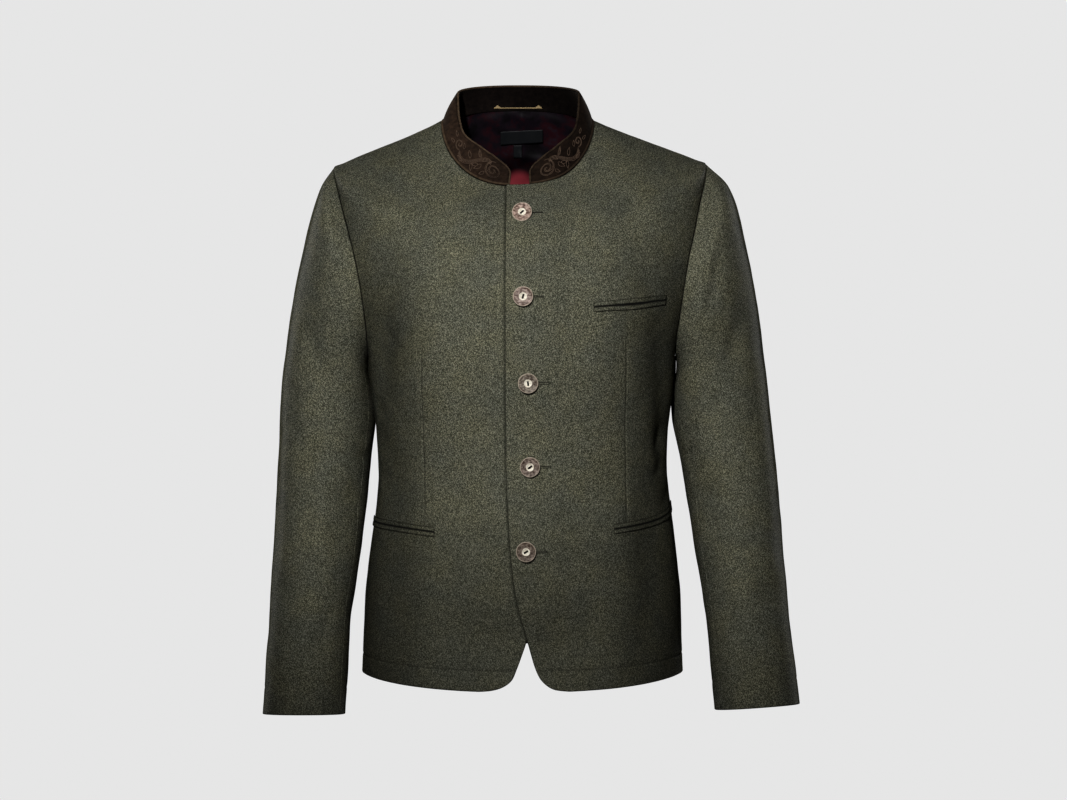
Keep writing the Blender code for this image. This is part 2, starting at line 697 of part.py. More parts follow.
def make_piping(name, material):
    """A thin cord along the collar's front ends and top edge."""
    depth = 0.5 * (SUEDE + SEAM_GAP + COLLAR_LINING)
    girths, rises = [], []
    for end in collar_ends():
        side = collar_side(end)
        tops = collar_rise(side, end)
        climb = tops[0] * np.array([0.15, 0.55, 0.90])
        girths.append(np.concatenate([np.full(3, end), side[1:]]))
        rises.append(np.concatenate([climb, tops[1:]]))
    around = np.concatenate([girths[0], girths[1][-2::-1]])
    rise = np.concatenate([rises[0], rises[1][-2::-1]])
    edge = collar_points(around, rise, depth)
    facing = unit(collar_points(around, rise, depth - 0.001) - edge)
    off_edge = unit(np.cross(np.gradient(edge, axis=0), facing))
    middle = collar_points(around[len(around) // 2:][:1], [0.0], depth)[0]
    centre_up = edge[len(edge) // 2] - middle
    off_edge *= math.copysign(1.0, float(np.dot(off_edge[len(edge) // 2], centre_up)))
    path = edge + off_edge * (PIPING_RADIUS + PIPING_CLEARANCE)
    return tube(name, path, PIPING_RADIUS, material, sides=6)


def make_button(name, place, material):
    """A round horn button with a raised rim and a dished middle, on the left front."""
    x, z = place
    around = girth_at_x(v_at(0.0, z), x)
    v = v_at(around, z)
    lift = float(lap_lift(v, [around])[0])
    seat = body_row(v, [around], lift + BUTTON_LIFT)[0]
    facing = body_normals(v, [around])[0]
    edit = bmesh.new()
    profile = (
        (0.0, 0.0),
        (0.80 * BUTTON_RADIUS, 0.0),
        (BUTTON_RADIUS, 0.35 * BUTTON_THICK),
        (BUTTON_RADIUS, 0.80 * BUTTON_THICK),
        (BUTTON_RADIUS - 0.5 * BUTTON_RIM, BUTTON_THICK),
        (BUTTON_RADIUS - BUTTON_RIM, 0.80 * BUTTON_THICK),
        (BUTTON_DISH, 0.72 * BUTTON_THICK),
        (0.75 * BUTTON_DISH, 0.50 * BUTTON_THICK),
        (0.0, 0.45 * BUTTON_THICK),
    )
    points = [edit.verts.new((radius, 0.0, height)) for radius, height in profile]
    edges = [edit.edges.new(pair) for pair in zip(points, points[1:])]
    bmesh.ops.spin(
        edit, geom=points + edges, cent=(0.0, 0.0, 0.0), axis=(0.0, 0.0, 1.0),
        angle=2.0 * math.pi, steps=BUTTON_STEPS, use_merge=True,
    )
    bmesh.ops.remove_doubles(edit, verts=edit.verts, dist=0.00001)
    turn = Vector((0.0, 0.0, 1.0)).rotation_difference(Vector(facing)).to_matrix().to_4x4()
    bmesh.ops.transform(edit, matrix=Matrix.Translation(Vector(seat)) @ turn, verts=edit.verts)
    return add_object(name, edit, material)


def jet_points(start, z_start, end, z_end, rise, low, high, out, steps):
    """Two rows of points along a pocket mouth, at two heights from it."""
    rows = []
    for shift in (low, high):
        row = []
        for k in range(steps + 1):
            share = k / steps
            around = start + (end - start) * share
            z = z_start + (z_end - z_start) * share + rise * math.sin(math.pi * share) + shift
            v = v_at(around, z)
            row.append(body_row(v, [around], out)[0])
        rows.append(row)
    return np.array(rows)


def make_pocket(pocket, material):
    """The two jets of a pocket, one above and one below its mouth."""
    half = 0.5 * JET_MOUTH
    for part, low, high in (("upper", half, half + pocket["jet"]), ("lower", -half - pocket["jet"], -half)):
        name = f"{pocket['name']}_jet_{part}"
        line = [pocket[key] for key in ("start", "z_start", "end", "z_end", "rise")]
        outer = jet_points(*line, low, high, JET_LIFT + JET_THICK, pocket["steps"])
        inner = jet_points(*line, low, high, JET_LIFT, pocket["steps"])
        wall(name, outer, inner, material)


def make_back_lining(name, material):
    """The lining that shows inside the back of the neck, cut to the back panels' own points."""
    outside = WOOL + LINING_CLEARANCE
    outer, inner = [], []
    for v in shoulder_heights():
        level = min(v, V_NECK - NECK_DROP)
        around = back_girths(v, BACK_COLUMNS, 1.0)
        around[0] += LINING_INSET
        around[-1] = half_girth(v)
        both = np.concatenate([around, -around[-2::-1]])
        outer.append(body_row(level, both, -outside))
        inner.append(body_row(level, both, -outside - SATIN))
    return wall(name, np.array(outer), np.array(inner), material)


def make_tape(tape, depth, material):
    """A small flat tape sewn inside the back of the neck."""
    outer, inner = [], []
    for z in (tape["z_top"], tape["z_low"]):
        line_outer, line_inner = [], []
        for x in np.linspace(tape["x_left"], tape["x_right"], 5):
            height = z + math.tan(math.radians(tape["tilt"])) * x
            v = v_at(half_girth(float(V_NECK)), height)
            offset = x - body_ring(v)["x_mid"]
            around = math.copysign(half_girth(v) - abs(offset), offset)
            line_outer.append(body_row(v, [around], -depth)[0])
            line_inner.append(body_row(v, [around], -depth - TAPE_THICK)[0])
        outer.append(line_outer)
        inner.append(line_inner)
    return wall(tape["name"], np.array(outer), np.array(inner), material)


def make_loop(name, material):
    """The hanger loop across the back of the collar's inside."""
    depth = SUEDE + SEAM_GAP + COLLAR_LINING + LOOP_CLEARANCE + LOOP_RADIUS
    whole = half_girth(float(V_NECK))
    path = []
    for share in np.linspace(-1.0, 1.0, 15):
        offset = 0.5 * LOOP_SPAN * share
        around = whole - abs(offset)
        around = around if offset >= 0.0 else -around
        rise = LOOP_RISE * (0.7 + 0.5 * (1.0 - share ** 4))
        path.append(collar_points([around], [rise], depth)[0])
    return tube(name, path, LOOP_RADIUS, material, sides=6)


def build():
    """Make every piece of the jacket."""
    for piece in list(bpy.data.objects):
        bpy.data.objects.remove(piece, do_unlink=True)
    wool = make_material("wool", WOOL_COLOUR, 0.95)
    suede = make_material("suede", SUEDE_COLOUR, 0.90)
    piping = make_material("piping", PIPING_COLOUR, 0.80)
    satin = make_material("satin", SATIN_COLOUR, 0.35)
    tape = make_material("label tape", LABEL_COLOUR, 0.60)
    gold = make_material("gold cord", GOLD_COLOUR, 0.55)
    horn = make_material("horn", HORN_COLOUR, 0.40)

    for side_name, side in (("left", 1.0), ("right", -1.0)):
        make_front(f"front_{side_name}", side, wool)
        make_back(f"back_{side_name}", side, wool)
        make_sleeve(f"top_sleeve_{side_name}", side, BACK_SLEEVE_SEAM, FRONT_SLEEVE_SEAM, wool)
        make_sleeve(f"under_sleeve_{side_name}", side, FRONT_SLEEVE_SEAM, 360.0 + BACK_SLEEVE_SEAM, wool)

    make_collar("collar", 0.0, SUEDE, suede)
    make_collar("collar_inner", SUEDE + SEAM_GAP, COLLAR_LINING, suede)
    make_piping("collar_piping", piping)
    make_back_lining("back_neck_lining", satin)
    tape_depth = WOOL + LINING_CLEARANCE + SATIN + LINING_CLEARANCE
    for row in TAPES:
        make_tape(dict(zip(TAPE_COLUMNS, row)), tape_depth, tape)
    make_loop("hanger_loop", gold)

    for row in POCKETS:
        make_pocket(dict(zip(POCKET_COLUMNS, row)), wool)
    for number, place in enumerate(BUTTON_PLACES, start=1):
        make_button(f"button_{number}", place, horn)


build()
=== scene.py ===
"""The look of a stand-collar wool jacket in the European folk style, worn shape, nobody in it.

Metres, +Z up. The front faces -Y and the wearer's left is at +X. Each cut piece of cloth is a
thin shell on the form of its solid: the same rings and girths, then creases, seams and a rounded
edge. A place on the body is given by how far round from the centre front, and how high.
"""

import math
from functools import lru_cache

import bmesh
import bpy
import numpy as np
from mathutils import Matrix, Vector, kdtree


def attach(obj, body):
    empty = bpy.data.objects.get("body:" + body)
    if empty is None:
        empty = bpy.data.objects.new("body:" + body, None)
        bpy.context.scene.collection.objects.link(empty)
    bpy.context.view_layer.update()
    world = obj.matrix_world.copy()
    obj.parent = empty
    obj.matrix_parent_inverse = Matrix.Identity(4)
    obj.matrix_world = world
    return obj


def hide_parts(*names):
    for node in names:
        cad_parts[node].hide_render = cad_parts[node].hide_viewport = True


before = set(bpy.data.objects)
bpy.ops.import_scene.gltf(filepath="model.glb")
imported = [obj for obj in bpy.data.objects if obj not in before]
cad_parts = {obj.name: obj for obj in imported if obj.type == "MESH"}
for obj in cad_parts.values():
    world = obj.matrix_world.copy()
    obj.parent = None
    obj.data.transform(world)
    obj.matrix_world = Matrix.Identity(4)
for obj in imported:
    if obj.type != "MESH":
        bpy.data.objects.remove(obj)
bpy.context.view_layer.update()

# Cloth walls and the room between pieces.
WOOL = 0.0020
SUEDE = 0.0016
COLLAR_LINING = 0.0013
SATIN = 0.0010
SEAM_GAP = 0.00002
ARMHOLE_GAP = 0.0001
LAP_CLEARANCE = 0.0006
NECK_DROP = 0.0005
SEAM_TUCK = 0.0026
SEAM_LAP = 0.0040

# The body, from hem to neck seam. Heights are given at the side, the front and the back, with
# what the wearer's left side has more.
BODY_COLUMNS = (
    "z_side", "z_front", "z_back", "half_width", "front", "back", "square", "dip",
    "x_mid", "left_up",
)
BODY_STATIONS = (
    # name       z_side   z_front  z_back   half_w  front   back    square dip   x_mid   left_up
    ("hem",      -0.6820, -0.6965, -0.6600, 0.1965, 0.1380, 0.1190, 2.35, 2.00, 0.0012, 0.0000),
    ("hip",      -0.5980, -0.6040, -0.5900, 0.1938, 0.1370, 0.1185, 2.35, 1.60, 0.0020, 0.0000),
    ("pockets",  -0.5120, -0.5140, -0.5100, 0.1852, 0.1335, 0.1100, 2.38, 1.40, 0.0034, 0.0000),
    ("waist",    -0.4400, -0.4400, -0.4400, 0.1774, 0.1300, 0.1010, 2.42, 1.40, 0.0028, 0.0000),
    ("low ribs", -0.3880, -0.3880, -0.3880, 0.1796, 0.1325, 0.1035, 2.44, 1.40, 0.0016, 0.0000),
    ("ribs",     -0.3500, -0.3490, -0.3500, 0.1838, 0.1365, 0.1080, 2.46, 1.40, 0.0013, 0.0000),
    ("underarm", -0.3000, -0.2960, -0.3000, 0.1875, 0.1410, 0.1175, 2.48, 1.40, 0.0012, 0.0000),
    ("chest",    -0.2260, -0.2350, -0.2240, 0.2070, 0.1405, 0.1245, 2.48, 1.40, 0.0015, 0.0000),
    ("blades",   -0.1400, -0.1780, -0.1400, 0.2222, 0.1290, 0.1235, 2.46, 1.40, 0.0008, 0.0015),
    ("tip",      -0.0640, -0.1390, -0.0740, 0.2285, 0.1125, 0.1085, 2.44, 1.38, -0.0015, 0.0040),
    ("edge",     -0.0590, -0.1345, -0.0660, 0.2170, 0.1095, 0.1050, 2.44, 1.38, -0.0018, 0.0040),
    ("yoke",     -0.0350, -0.1130, -0.0260, 0.1570, 0.0945, 0.0870, 2.46, 1.36, -0.0030, 0.0026),
    ("neck",     -0.0090, -0.0924, 0.0145,  0.0930, 0.0780, 0.0660, 2.50, 1.35, -0.0040, 0.0000),
)
UNDERARM = 6
TIP = 9
RING_SAMPLES = 721
ARMHOLE_FRONT_SHARE = 0.50
ARMHOLE_BACK_SHARE = 0.54

# The fronts' edges: the upper one, which shows, and the lower one, which shows below the apex.
EDGE_COLUMNS = ("z", "x")
LAP_EDGE = (
    (-0.0908, -0.0177), (-0.1600, -0.0184), (-0.3500, -0.0183), (-0.4335, -0.0172),
    (-0.4926, -0.0148), (-0.5575, -0.0100), (-0.5987, -0.0029), (-0.6353, 0.0077),
    (-0.6519, 0.0124), (-0.6672, 0.0171), (-0.6802, 0.0231), (-0.6897, 0.0325),
    (-0.6945, 0.0425), (-0.6965, 0.0580),
)
UNDER_EDGE = (
    (-0.0908, 0.0200), (-0.3500, 0.0240), (-0.5000, 0.0235), (-0.5600, 0.0205),
    (-0.6000, 0.0150), (-0.6353, 0.0077), (-0.6566, 0.0006), (-0.6719, -0.0053),
    (-0.6814, -0.0095), (-0.6870, -0.0150), (-0.6920, -0.0240), (-0.6955, -0.0380),
    (-0.6965, -0.0500),
)
LAP_REACH = 0.006
LAP_RAMP = 0.034

# The stand collar. Its front quarters swell taller than the ends and the back, by COLLAR_SWELL.
COLLAR_TOP = (
    "collar top", 0.0270, -0.0720, 0.0412, 0.0760, 0.0660, 0.0600, 2.45, 1.05, -0.0030, 0.0000,
)
COLLAR_END_RIGHT = -0.0152
COLLAR_END_LEFT = 0.0126
COLLAR_CORNER = 0.007
COLLAR_BULGE = 0.0015
COLLAR_SWELL = 0.0140
COLLAR_SWELL_FULL = 0.034
COLLAR_SWELL_FADE = (0.042, 0.062)
COLLAR_STEP = 0.002
PIPING_RADIUS = 0.0013
PIPING_SINK = 0.0004
PIPING_SEAM_RISE = 0.0012
PIPING_SEAM_LIFT = 0.0002
EMBROIDERY_ROOM = 0.0340
EMBROIDERY_MARGIN = 0.0035
EMBROIDERY_LIFT = 0.00018
EMBROIDERY_RADIUS = 0.00026

# The embroidery's scroll on one collar front, in metres along and up. Spirals: centre, radius,
# turns, degrees of the outer end, and hand. Leaves: root, length, width, degrees and hook.
SPIRALS = (
    ((0.0215, 0.0175), 0.0125, 2.1, 66.0, 1.0),
    ((0.0215, 0.0175), 0.0112, 1.9, 66.0, 1.0),
    ((0.0215, 0.0175), 0.0140, 0.7, 96.0, 1.0),
    ((0.0860, 0.0220), 0.0088, 1.5, 232.0, -1.0),
    ((0.0860, 0.0220), 0.0076, 1.3, 232.0, -1.0),
)
STEM = ((0.0265, 0.0290), (0.0380, 0.0285), (0.0500, 0.0200), (0.0640, 0.0110), (0.0800, 0.0150))
STEM_ROWS = (0.0, 0.0014, 0.0028, 0.0044)
LEAVES = (
    ((0.0430, 0.0265), 0.0110, 0.0050, 24.0, 0.35),
    ((0.0440, 0.0270), 0.0080, 0.0024, 24.0, 0.35),
    ((0.0340, 0.0290), 0.0090, 0.0042, -30.0, -0.30),
    ((0.0450, 0.0160), 0.0090, 0.0040, -50.0, 0.35),
    ((0.0750, 0.0210), 0.0090, 0.0040, 70.0, -0.25),
    ((0.0330, 0.0110), 0.0080, 0.0036, -60.0, 0.30),
    ((0.0400, 0.0180), 0.0120, 0.0048, -70.0, 0.35),
    ((0.0530, 0.0125), 0.0090, 0.0042, -84.0, -0.30),
    ((0.0590, 0.0165), 0.0110, 0.0046, 62.0, -0.25),
    ((0.0690, 0.0070), 0.0100, 0.0042, -12.0, 0.30),
    ((0.0965, 0.0180), 0.0090, 0.0042, -38.0, 0.35),
    ((0.0975, 0.0270), 0.0090, 0.0042, 28.0, -0.25),
)

# The sleeves, ring by ring from the armhole to the cuff. The radii turn degrees round a sleeve
# into metres: one for its creases, one for the map of its cloth.
SLEEVE_COLUMNS = ("x_out", "z_out", "x_in", "z_in", "y_mid", "half_depth")
SLEEVE_RIGHT = (
    (0.2450, -0.0880, 0.1885, -0.3035, 0.0010, 0.0725),
    (0.2640, -0.1480, 0.1885, -0.3160, 0.0080, 0.0740),
    (0.2825, -0.2350, 0.1828, -0.3420, 0.0200, 0.0730),
    (0.2970, -0.3400, 0.1797, -0.3720, 0.0260, 0.0700),
    (0.3010, -0.4120, 0.1845, -0.4180, 0.0220, 0.0660),
    (0.3023, -0.4600, 0.1885, -0.4600, 0.0160, 0.0620),
    (0.3050, -0.5326, 0.1965, -0.5326, 0.0040, 0.0560),
    (0.3085, -0.6200, 0.2080, -0.6200, -0.0140, 0.0500),
    (0.3137, -0.7325, 0.2134, -0.7325, -0.0350, 0.0450),
)
SLEEVE_LEFT = (
    (0.2545, -0.0880, 0.1910, -0.3035, 0.0010, 0.0725),
    (0.2745, -0.1480, 0.1905, -0.3160, 0.0080, 0.0740),
    (0.2925, -0.2350, 0.1852, -0.3420, 0.0200, 0.0730),
    (0.3060, -0.3400, 0.1870, -0.3720, 0.0250, 0.0700),
    (0.3140, -0.4120, 0.1965, -0.4180, 0.0210, 0.0660),
    (0.3185, -0.4600, 0.2035, -0.4600, 0.0160, 0.0620),
    (0.3232, -0.5326, 0.2142, -0.5326, 0.0040, 0.0560),
    (0.3292, -0.6200, 0.2272, -0.6200, -0.0140, 0.0500),
    (0.3397, -0.7200, 0.2362, -0.7275, -0.0350, 0.0450),
)
CUFF_LIFT = 0.0030
SLEEVE_SQUARE = 2.2
SLEEVE_RADIUS = 0.06
SLEEVE_MAP_RADIUS = 0.055
SLEEVE_MIDDLE = (0.2, 0.0, -0.185)
SLEEVE_FADE_IN = 0.05
ARMHOLE_STEP = 0.02
FRONT_SLEEVE_SEAM = 150.0
BACK_SLEEVE_SEAM = -105.0

# Creases of the body: girth from the centre front, height, degrees of tilt, and
# how long, wide and deep. The solids have the first ten too, a little shallower.
CREASE_COLUMNS = ("around", "height", "tilt", "length", "width", "depth")
BODY_CREASES = (
    (0.135, -0.125, -18.0, 0.090, 0.017, -0.0030),
    (-0.130, -0.130, 16.0, 0.080, 0.019, -0.0022),
    (0.205, -0.395, 62.0, 0.085, 0.016, -0.0026),
    (-0.208, -0.400, -60.0, 0.080, 0.017, -0.0024),
    (0.095, -0.455, 70.0, 0.100, 0.020, -0.0016),
    (-0.085, -0.465, -72.0, 0.095, 0.021, -0.0015),
    (0.420, -0.400, 60.0, 0.110, 0.020, -0.0030),
    (-0.425, -0.410, -58.0, 0.105, 0.019, -0.0028),
    (0.385, -0.190, 20.0, 0.120, 0.020, -0.0026),
    (-0.385, -0.195, -20.0, 0.120, 0.020, -0.0026),
    # broad hollows from the armholes down to the skirt, and one across the skirt
    (-0.172, -0.450, 2.0, 0.260, 0.034, -0.0034),
    (0.168, -0.520, -2.0, 0.260, 0.034, -0.0046),
    (0.000, -0.645, 90.0, 0.480, 0.044, -0.0074),
    (0.000, -0.500, 90.0, 0.400, 0.060, 0.0022),
    (0.010, -0.200, 0.0, 0.240, 0.080, 0.0024),
    (-0.188, -0.300, 5.0, 0.330, 0.030, -0.0058),
    (0.196, -0.350, -6.0, 0.360, 0.028, -0.0052),
    (-0.100, -0.330, -3.0, 0.300, 0.040, 0.0026),
    (0.092, -0.300, 3.0, 0.260, 0.040, 0.0020),
    # collar pull and shoulder
    (0.113, -0.052, 8.0, 0.070, 0.008, -0.0011),
    (-0.108, -0.060, -14.0, 0.060, 0.009, -0.0008),
    (0.060, -0.150, -30.0, 0.070, 0.012, -0.0006),
    (-0.062, -0.160, 26.0, 0.080, 0.013, -0.0007),
    # from the armholes towards the chest
    (0.158, -0.215, -22.0, 0.080, 0.010, -0.0010),
    (-0.160, -0.225, 25.0, 0.090, 0.011, -0.0012),
    (0.170, -0.265, 48.0, 0.060, 0.009, -0.0009),
    (-0.172, -0.275, -44.0, 0.070, 0.009, -0.0010),
    # waist, towards the side seams
    (0.196, -0.435, 66.0, 0.090, 0.010, -0.0014),
    (-0.200, -0.445, -62.0, 0.080, 0.009, -0.0013),
    (0.214, -0.470, 58.0, 0.070, 0.008, -0.0010),
    (-0.212, -0.360, -50.0, 0.070, 0.010, -0.0011),
    (0.150, -0.350, 40.0, 0.090, 0.013, -0.0008),
    (-0.148, -0.365, -38.0, 0.100, 0.013, -0.0009),
    # skirt
    (0.165, -0.605, 4.0, 0.170, 0.022, -0.0015),
    (-0.160, -0.600, -5.0, 0.160, 0.023, -0.0014),
    (0.080, -0.625, -4.0, 0.140, 0.022, -0.0009),
    (-0.075, -0.620, 5.0, 0.150, 0.024, -0.0010),
    (0.122, -0.610, 2.0, 0.150, 0.020, 0.0009),
    (-0.118, -0.605, -2.0, 0.160, 0.021, 0.0009),
    # between the buttons
    (0.040, -0.182, 78.0, 0.060, 0.011, -0.0006),
    (0.046, -0.345, 82.0, 0.070, 0.012, -0.0006),
    (0.050, -0.485, 75.0, 0.060, 0.011, -0.0006),
    # underarm, where the side swells against the sleeve
    (0.283, -0.316, 0.0, 0.095, 0.020, 0.0036),
    (-0.283, -0.318, 0.0, 0.090, 0.020, 0.0028),
    # back: below the collar, blades, waist and skirt
    (0.470, -0.045, 84.0, 0.120, 0.010, -0.0012),
    (-0.440, -0.060, -70.0, 0.090, 0.010, -0.0010),
    (0.350, -0.260, 34.0, 0.100, 0.012, -0.0014),
    (-0.355, -0.250, -30.0, 0.110, 0.013, -0.0015),
    (0.300, -0.330, 58.0, 0.090, 0.011, -0.0013),
    (-0.298, -0.340, -60.0, 0.080, 0.010, -0.0012),
    (0.380, -0.455, 66.0, 0.100, 0.010, -0.0014),
    (-0.372, -0.450, -64.0, 0.110, 0.011, -0.0015),
    (0.330, -0.600, 6.0, 0.150, 0.022, -0.0014),
    (-0.335, -0.605, -4.0, 0.150, 0.021, -0.0013),
    (0.430, -0.590, -3.0, 0.140, 0.022, -0.0011),
    (-0.425, -0.600, 3.0, 0.150, 0.023, -0.0011),
)
CREASE_GAIN = 1.35

# Creases of the sleeves: along from the armhole, degrees round (0 outermost, 90 in front), and
# on which sleeve (0 both, 1 the wearer's left, -1 the wearer's right).
SLEEVE_CREASE_COLUMNS = ("along", "around", "tilt", "length", "width", "depth", "side")
SLEEVE_CREASES = (
    (0.130, 70.0, 25.0, 0.085, 0.015, -0.0030, 0),
    (0.300, 128.0, 68.0, 0.095, 0.013, -0.0036, 0),
    (0.335, 118.0, 60.0, 0.080, 0.012, -0.0028, 0),
    (0.270, -70.0, 62.0, 0.085, 0.014, -0.0026, 0),
    (0.420, 60.0, 48.0, 0.090, 0.016, -0.0022, 0),
    (0.300, 20.0, 2.0, 0.420, 0.020, -0.0020, 0),
    (0.380, 95.0, -3.0, 0.360, 0.018, 0.0016, 0),
    (0.245, 150.0, 76.0, 0.070, 0.008, -0.0018, 0),
    (0.275, 142.0, 62.0, 0.060, 0.007, -0.0012, -1),
    (0.268, 136.0, 70.0, 0.065, 0.007, -0.0013, 1),
    (0.215, 138.0, 80.0, 0.060, 0.008, -0.0010, 0),
    (0.045, 82.0, 40.0, 0.075, 0.011, -0.0016, 1),
    (0.060, 95.0, 20.0, 0.060, 0.010, -0.0009, -1),
    (0.205, 55.0, 18.0, 0.110, 0.013, -0.0009, 0),
    (0.360, 35.0, 8.0, 0.140, 0.014, -0.0008, 0),
    (0.460, 112.0, -22.0, 0.100, 0.010, -0.0009, 0),
    (0.500, 40.0, 30.0, 0.090, 0.011, -0.0008, -1),
    (0.250, -100.0, 70.0, 0.080, 0.010, -0.0016, 0),
    (0.292, -86.0, 60.0, 0.070, 0.009, -0.0013, 0),
    (0.335, -112.0, 72.0, 0.060, 0.008, -0.0011, 0),
    (0.120, -80.0, 20.0, 0.100, 0.012, -0.0012, 0),
    (0.440, -60.0, -30.0, 0.100, 0.012, -0.0012, 0),
)

# Small unevenness of milled wool: the length and height of its waves, and how many of each.
RIPPLE_COLUMNS = ("length", "height", "count")
RIPPLES = ((0.110, 0.00045, 5), (0.055, 0.00022, 6), (0.024, 0.00007, 6))

# Sewn lines.
DART_GIRTH = {1.0: 0.1280, -1.0: 0.1210}
DART_TOP = -0.268
DART_LOW = -0.500
DART_SHARES = (0.30, 0.70)
DART_DEPTH = 0.0008
DART_WIDTH = 0.0013
DART_FADES = (0.03, 0.02)
HEM_LINE = 0.0225
HEM_LINE_DEPTH = 0.0006
HEM_LINE_WIDTH = 0.0016
SEWN_LIGHT = 0.0005
FACING_WIDTH = 0.030

# How close the rows of a cloth lie: near its rounded edges, and further in, round and along.
# A span is roughly the width over which a panel's columns are shared out.
EDGE_ROWS = (0.0004, 0.0010, 0.0018, 0.0030)
FRONT_SPAN = 0.14
FRONT_STEPS = (0.0030, 0.0034)
BACK_SPAN = 0.25
BACK_STEPS = (0.0034, 0.0038)
SLEEVE_STEPS = (0.0030, 0.0034)
COLLAR_GIRTH_STEP = 0.0017
PIPING_GIRTH_STEP = 0.0030
LEAST_ROW_GAP = 0.00025
JET_STEP = 0.0018
TAPE_STEP = 0.0012

# Jetted pockets: both ends of the mouth as girth from the centre front and height.
JET_THICK = 0.0012
JET_LIFT = 0.00045
JET_MOUTH = 0.0010
MOUTH_THICK = 0.0004
MOUTH_HALF = 0.0009
MOUTH_ROWS = (1.0, 0.6, 0.25, 0.0)
MOUTH_SAG = {"chest_pocket": 0.0013, "left_pocket": 0.0003, "right_pocket": 0.0002}
POCKET_COLUMNS = ("name", "start", "z_start", "end", "z_end", "rise", "jet")
POCKETS = (
    ("chest_pocket", 0.0850, -0.2405, 0.1850, -0.2308, 0.0000, 0.0056),
    ("left_pocket", 0.1090, -0.5040, 0.2500, -0.4790, -0.0030, 0.0054),
    ("right_pocket", -0.1070, -0.5075, -0.2500, -0.4975, 0.0015, 0.0054),
)

# Buttons: how far to the wearer's left and how high they sit, how their holes are turned, and
# their horn's middle tone. The rings are steps inwards and down, from the rim to the middle.
BUTTON_COLUMNS = ("x", "z", "slit_turn", "tone")
BUTTONS = (
    (0.0017, -0.1297, 45.0, (0.290, 0.215, 0.175)),
    (0.0030, -0.2289, 75.0, (0.245, 0.190, 0.160)),
    (0.0089, -0.3305, 100.0, (0.175, 0.148, 0.118)),
    (0.0112, -0.4299, 35.0, (0.175, 0.138, 0.112)),
    (0.0065, -0.5303, 35.0, (0.145, 0.112, 0.086)),
)
BUTTON_RADIUS = 0.0120
BUTTON_THICK = 0.0036
BUTTON_LIFT = 0.0012
BUTTON_HANG = 0.9
BUTTON_STEPS = 48
BUTTON_BEVEL = 0.0006
BUTTON_RINGS = (
    (0.0005, 0.0), (0.0005, 0.0002), (0.0006, 0.0004), (0.0026, 0.0001), (0.0026, 0.0),
    (0.0005, 0.0001), (0.0004, 0.0004), (0.0009, 0.0004), (0.0014, 0.0002), (0.0010, 0.0),
)
BUTTON_FLOOR = 0.0020
HORN_OVAL = 0.010
HORN_WAVES = 0.005
HORN_WARP = 0.00012
BUTTON_THREAD = 0.00062
BUTTON_THREAD_APART = 0.00045
BUTTON_THREAD_ARCH = 0.00045
BUTTON_STITCH = 0.0026
BUTTONHOLE_START = -0.004
BUTTONHOLE_END = 0.0250
BUTTONHOLE_HALF = 0.0010
BUTTONHOLE_ROUND = 0.0012
BUTTONHOLE_LIFT = 0.00005
BUTTONHOLE_THREAD = 0.00050

# What shows inside the neck.
LINING_CLEARANCE = 0.0007
LINING_INSET = 0.004
SATIN_WRINKLE = 0.0022
SATIN_PLEAT = 0.0010
SATIN_PLEAT_X = 0.001
SATIN_PLEAT_WIDTH = 0.0022
SATIN_FLAT_EDGE = 0.012
TAPE_THICK = 0.0007
TAPE_COLUMNS = ("name", "x_left", "x_right", "z_top", "z_low", "tilt")
TAPES = (
    ("neck_label", -0.0264, 0.0277, -0.0100, -0.0262, 2.5),
    ("size_tab", -0.0099, 0.0011, -0.0276, -0.0405, 0.0),
)
LOOP_SPAN = 0.062
LOOP_LOW = 0.0015
LOOP_END = 0.0016
LOOP_CLEARANCE = 0.0015
LOOP_THICK = 0.0007
LOOP_NARROW = 0.0007
LOOP_WIDEN = 0.0016
LOOP_POINT_START = 0.72
LOOP_POINT = 0.14
LOOP_BOW = 0.0006
LOOP_ARCH = 0.0009

# The wool's three tones and its slow drift, how much painted shade darkens the front's sides and
# the skirt, and between which marks that painted shade comes and goes.
WOOL_DARK = (0.016, 0.017, 0.012)
WOOL_MIDDLE = (0.060, 0.061, 0.043)
WOOL_LIGHT = (0.290, 0.284, 0.215)
WOOL_BLUER = (0.88, 0.90, 0.95)
WOOL_BROWNER = (1.09, 1.07, 1.00)
SIDE_PAINTED_SHADE = 0.27
SKIRT_PAINTED_SHADE = 0.20
PAINTED_SHADE_ASIDE_END = (0.184, 0.202)
PAINTED_SHADE_FRONT_END = (-0.020, 0.020)
PAINTED_SHADE_SIDES = (0.088, 0.150)
PAINTED_SHADE_SIDES_FADE = (-0.26, -0.10)
PAINTED_SHADE_SKIRT = (-0.56, -0.43)

# The wool's gloss fades where it turns from the eye, the collar is paler towards the wearer's
# right and darker towards the left, and the lining has a painted red pool of light in one place.
WOOL_GLOSS = 0.80
WOOL_GLOSS_FADE = (0.20, 0.80)
COLLAR_ACROSS_TONE = (2.1, 0.72)
COLLAR_ACROSS_SPAN = (-0.07, 0.07)
LINING_PAINTED_LIGHT = (0.250, 0.040, 0.052, 1.0)
LINING_PAINTED_LIGHT_PLACE = (-0.003, 0.100, -0.081)

WHITE = (1.0, 1.0, 1.0)
BLACK = (0.0, 0.0, 0.0)

# The camera, where the photograph was taken from.
CAMERA_PLACE = (0.0154, -3.5, -0.3505)
METRES_PER_PIXEL = 0.00123
FRAME_PIXELS = 1067
SENSOR = 36.0

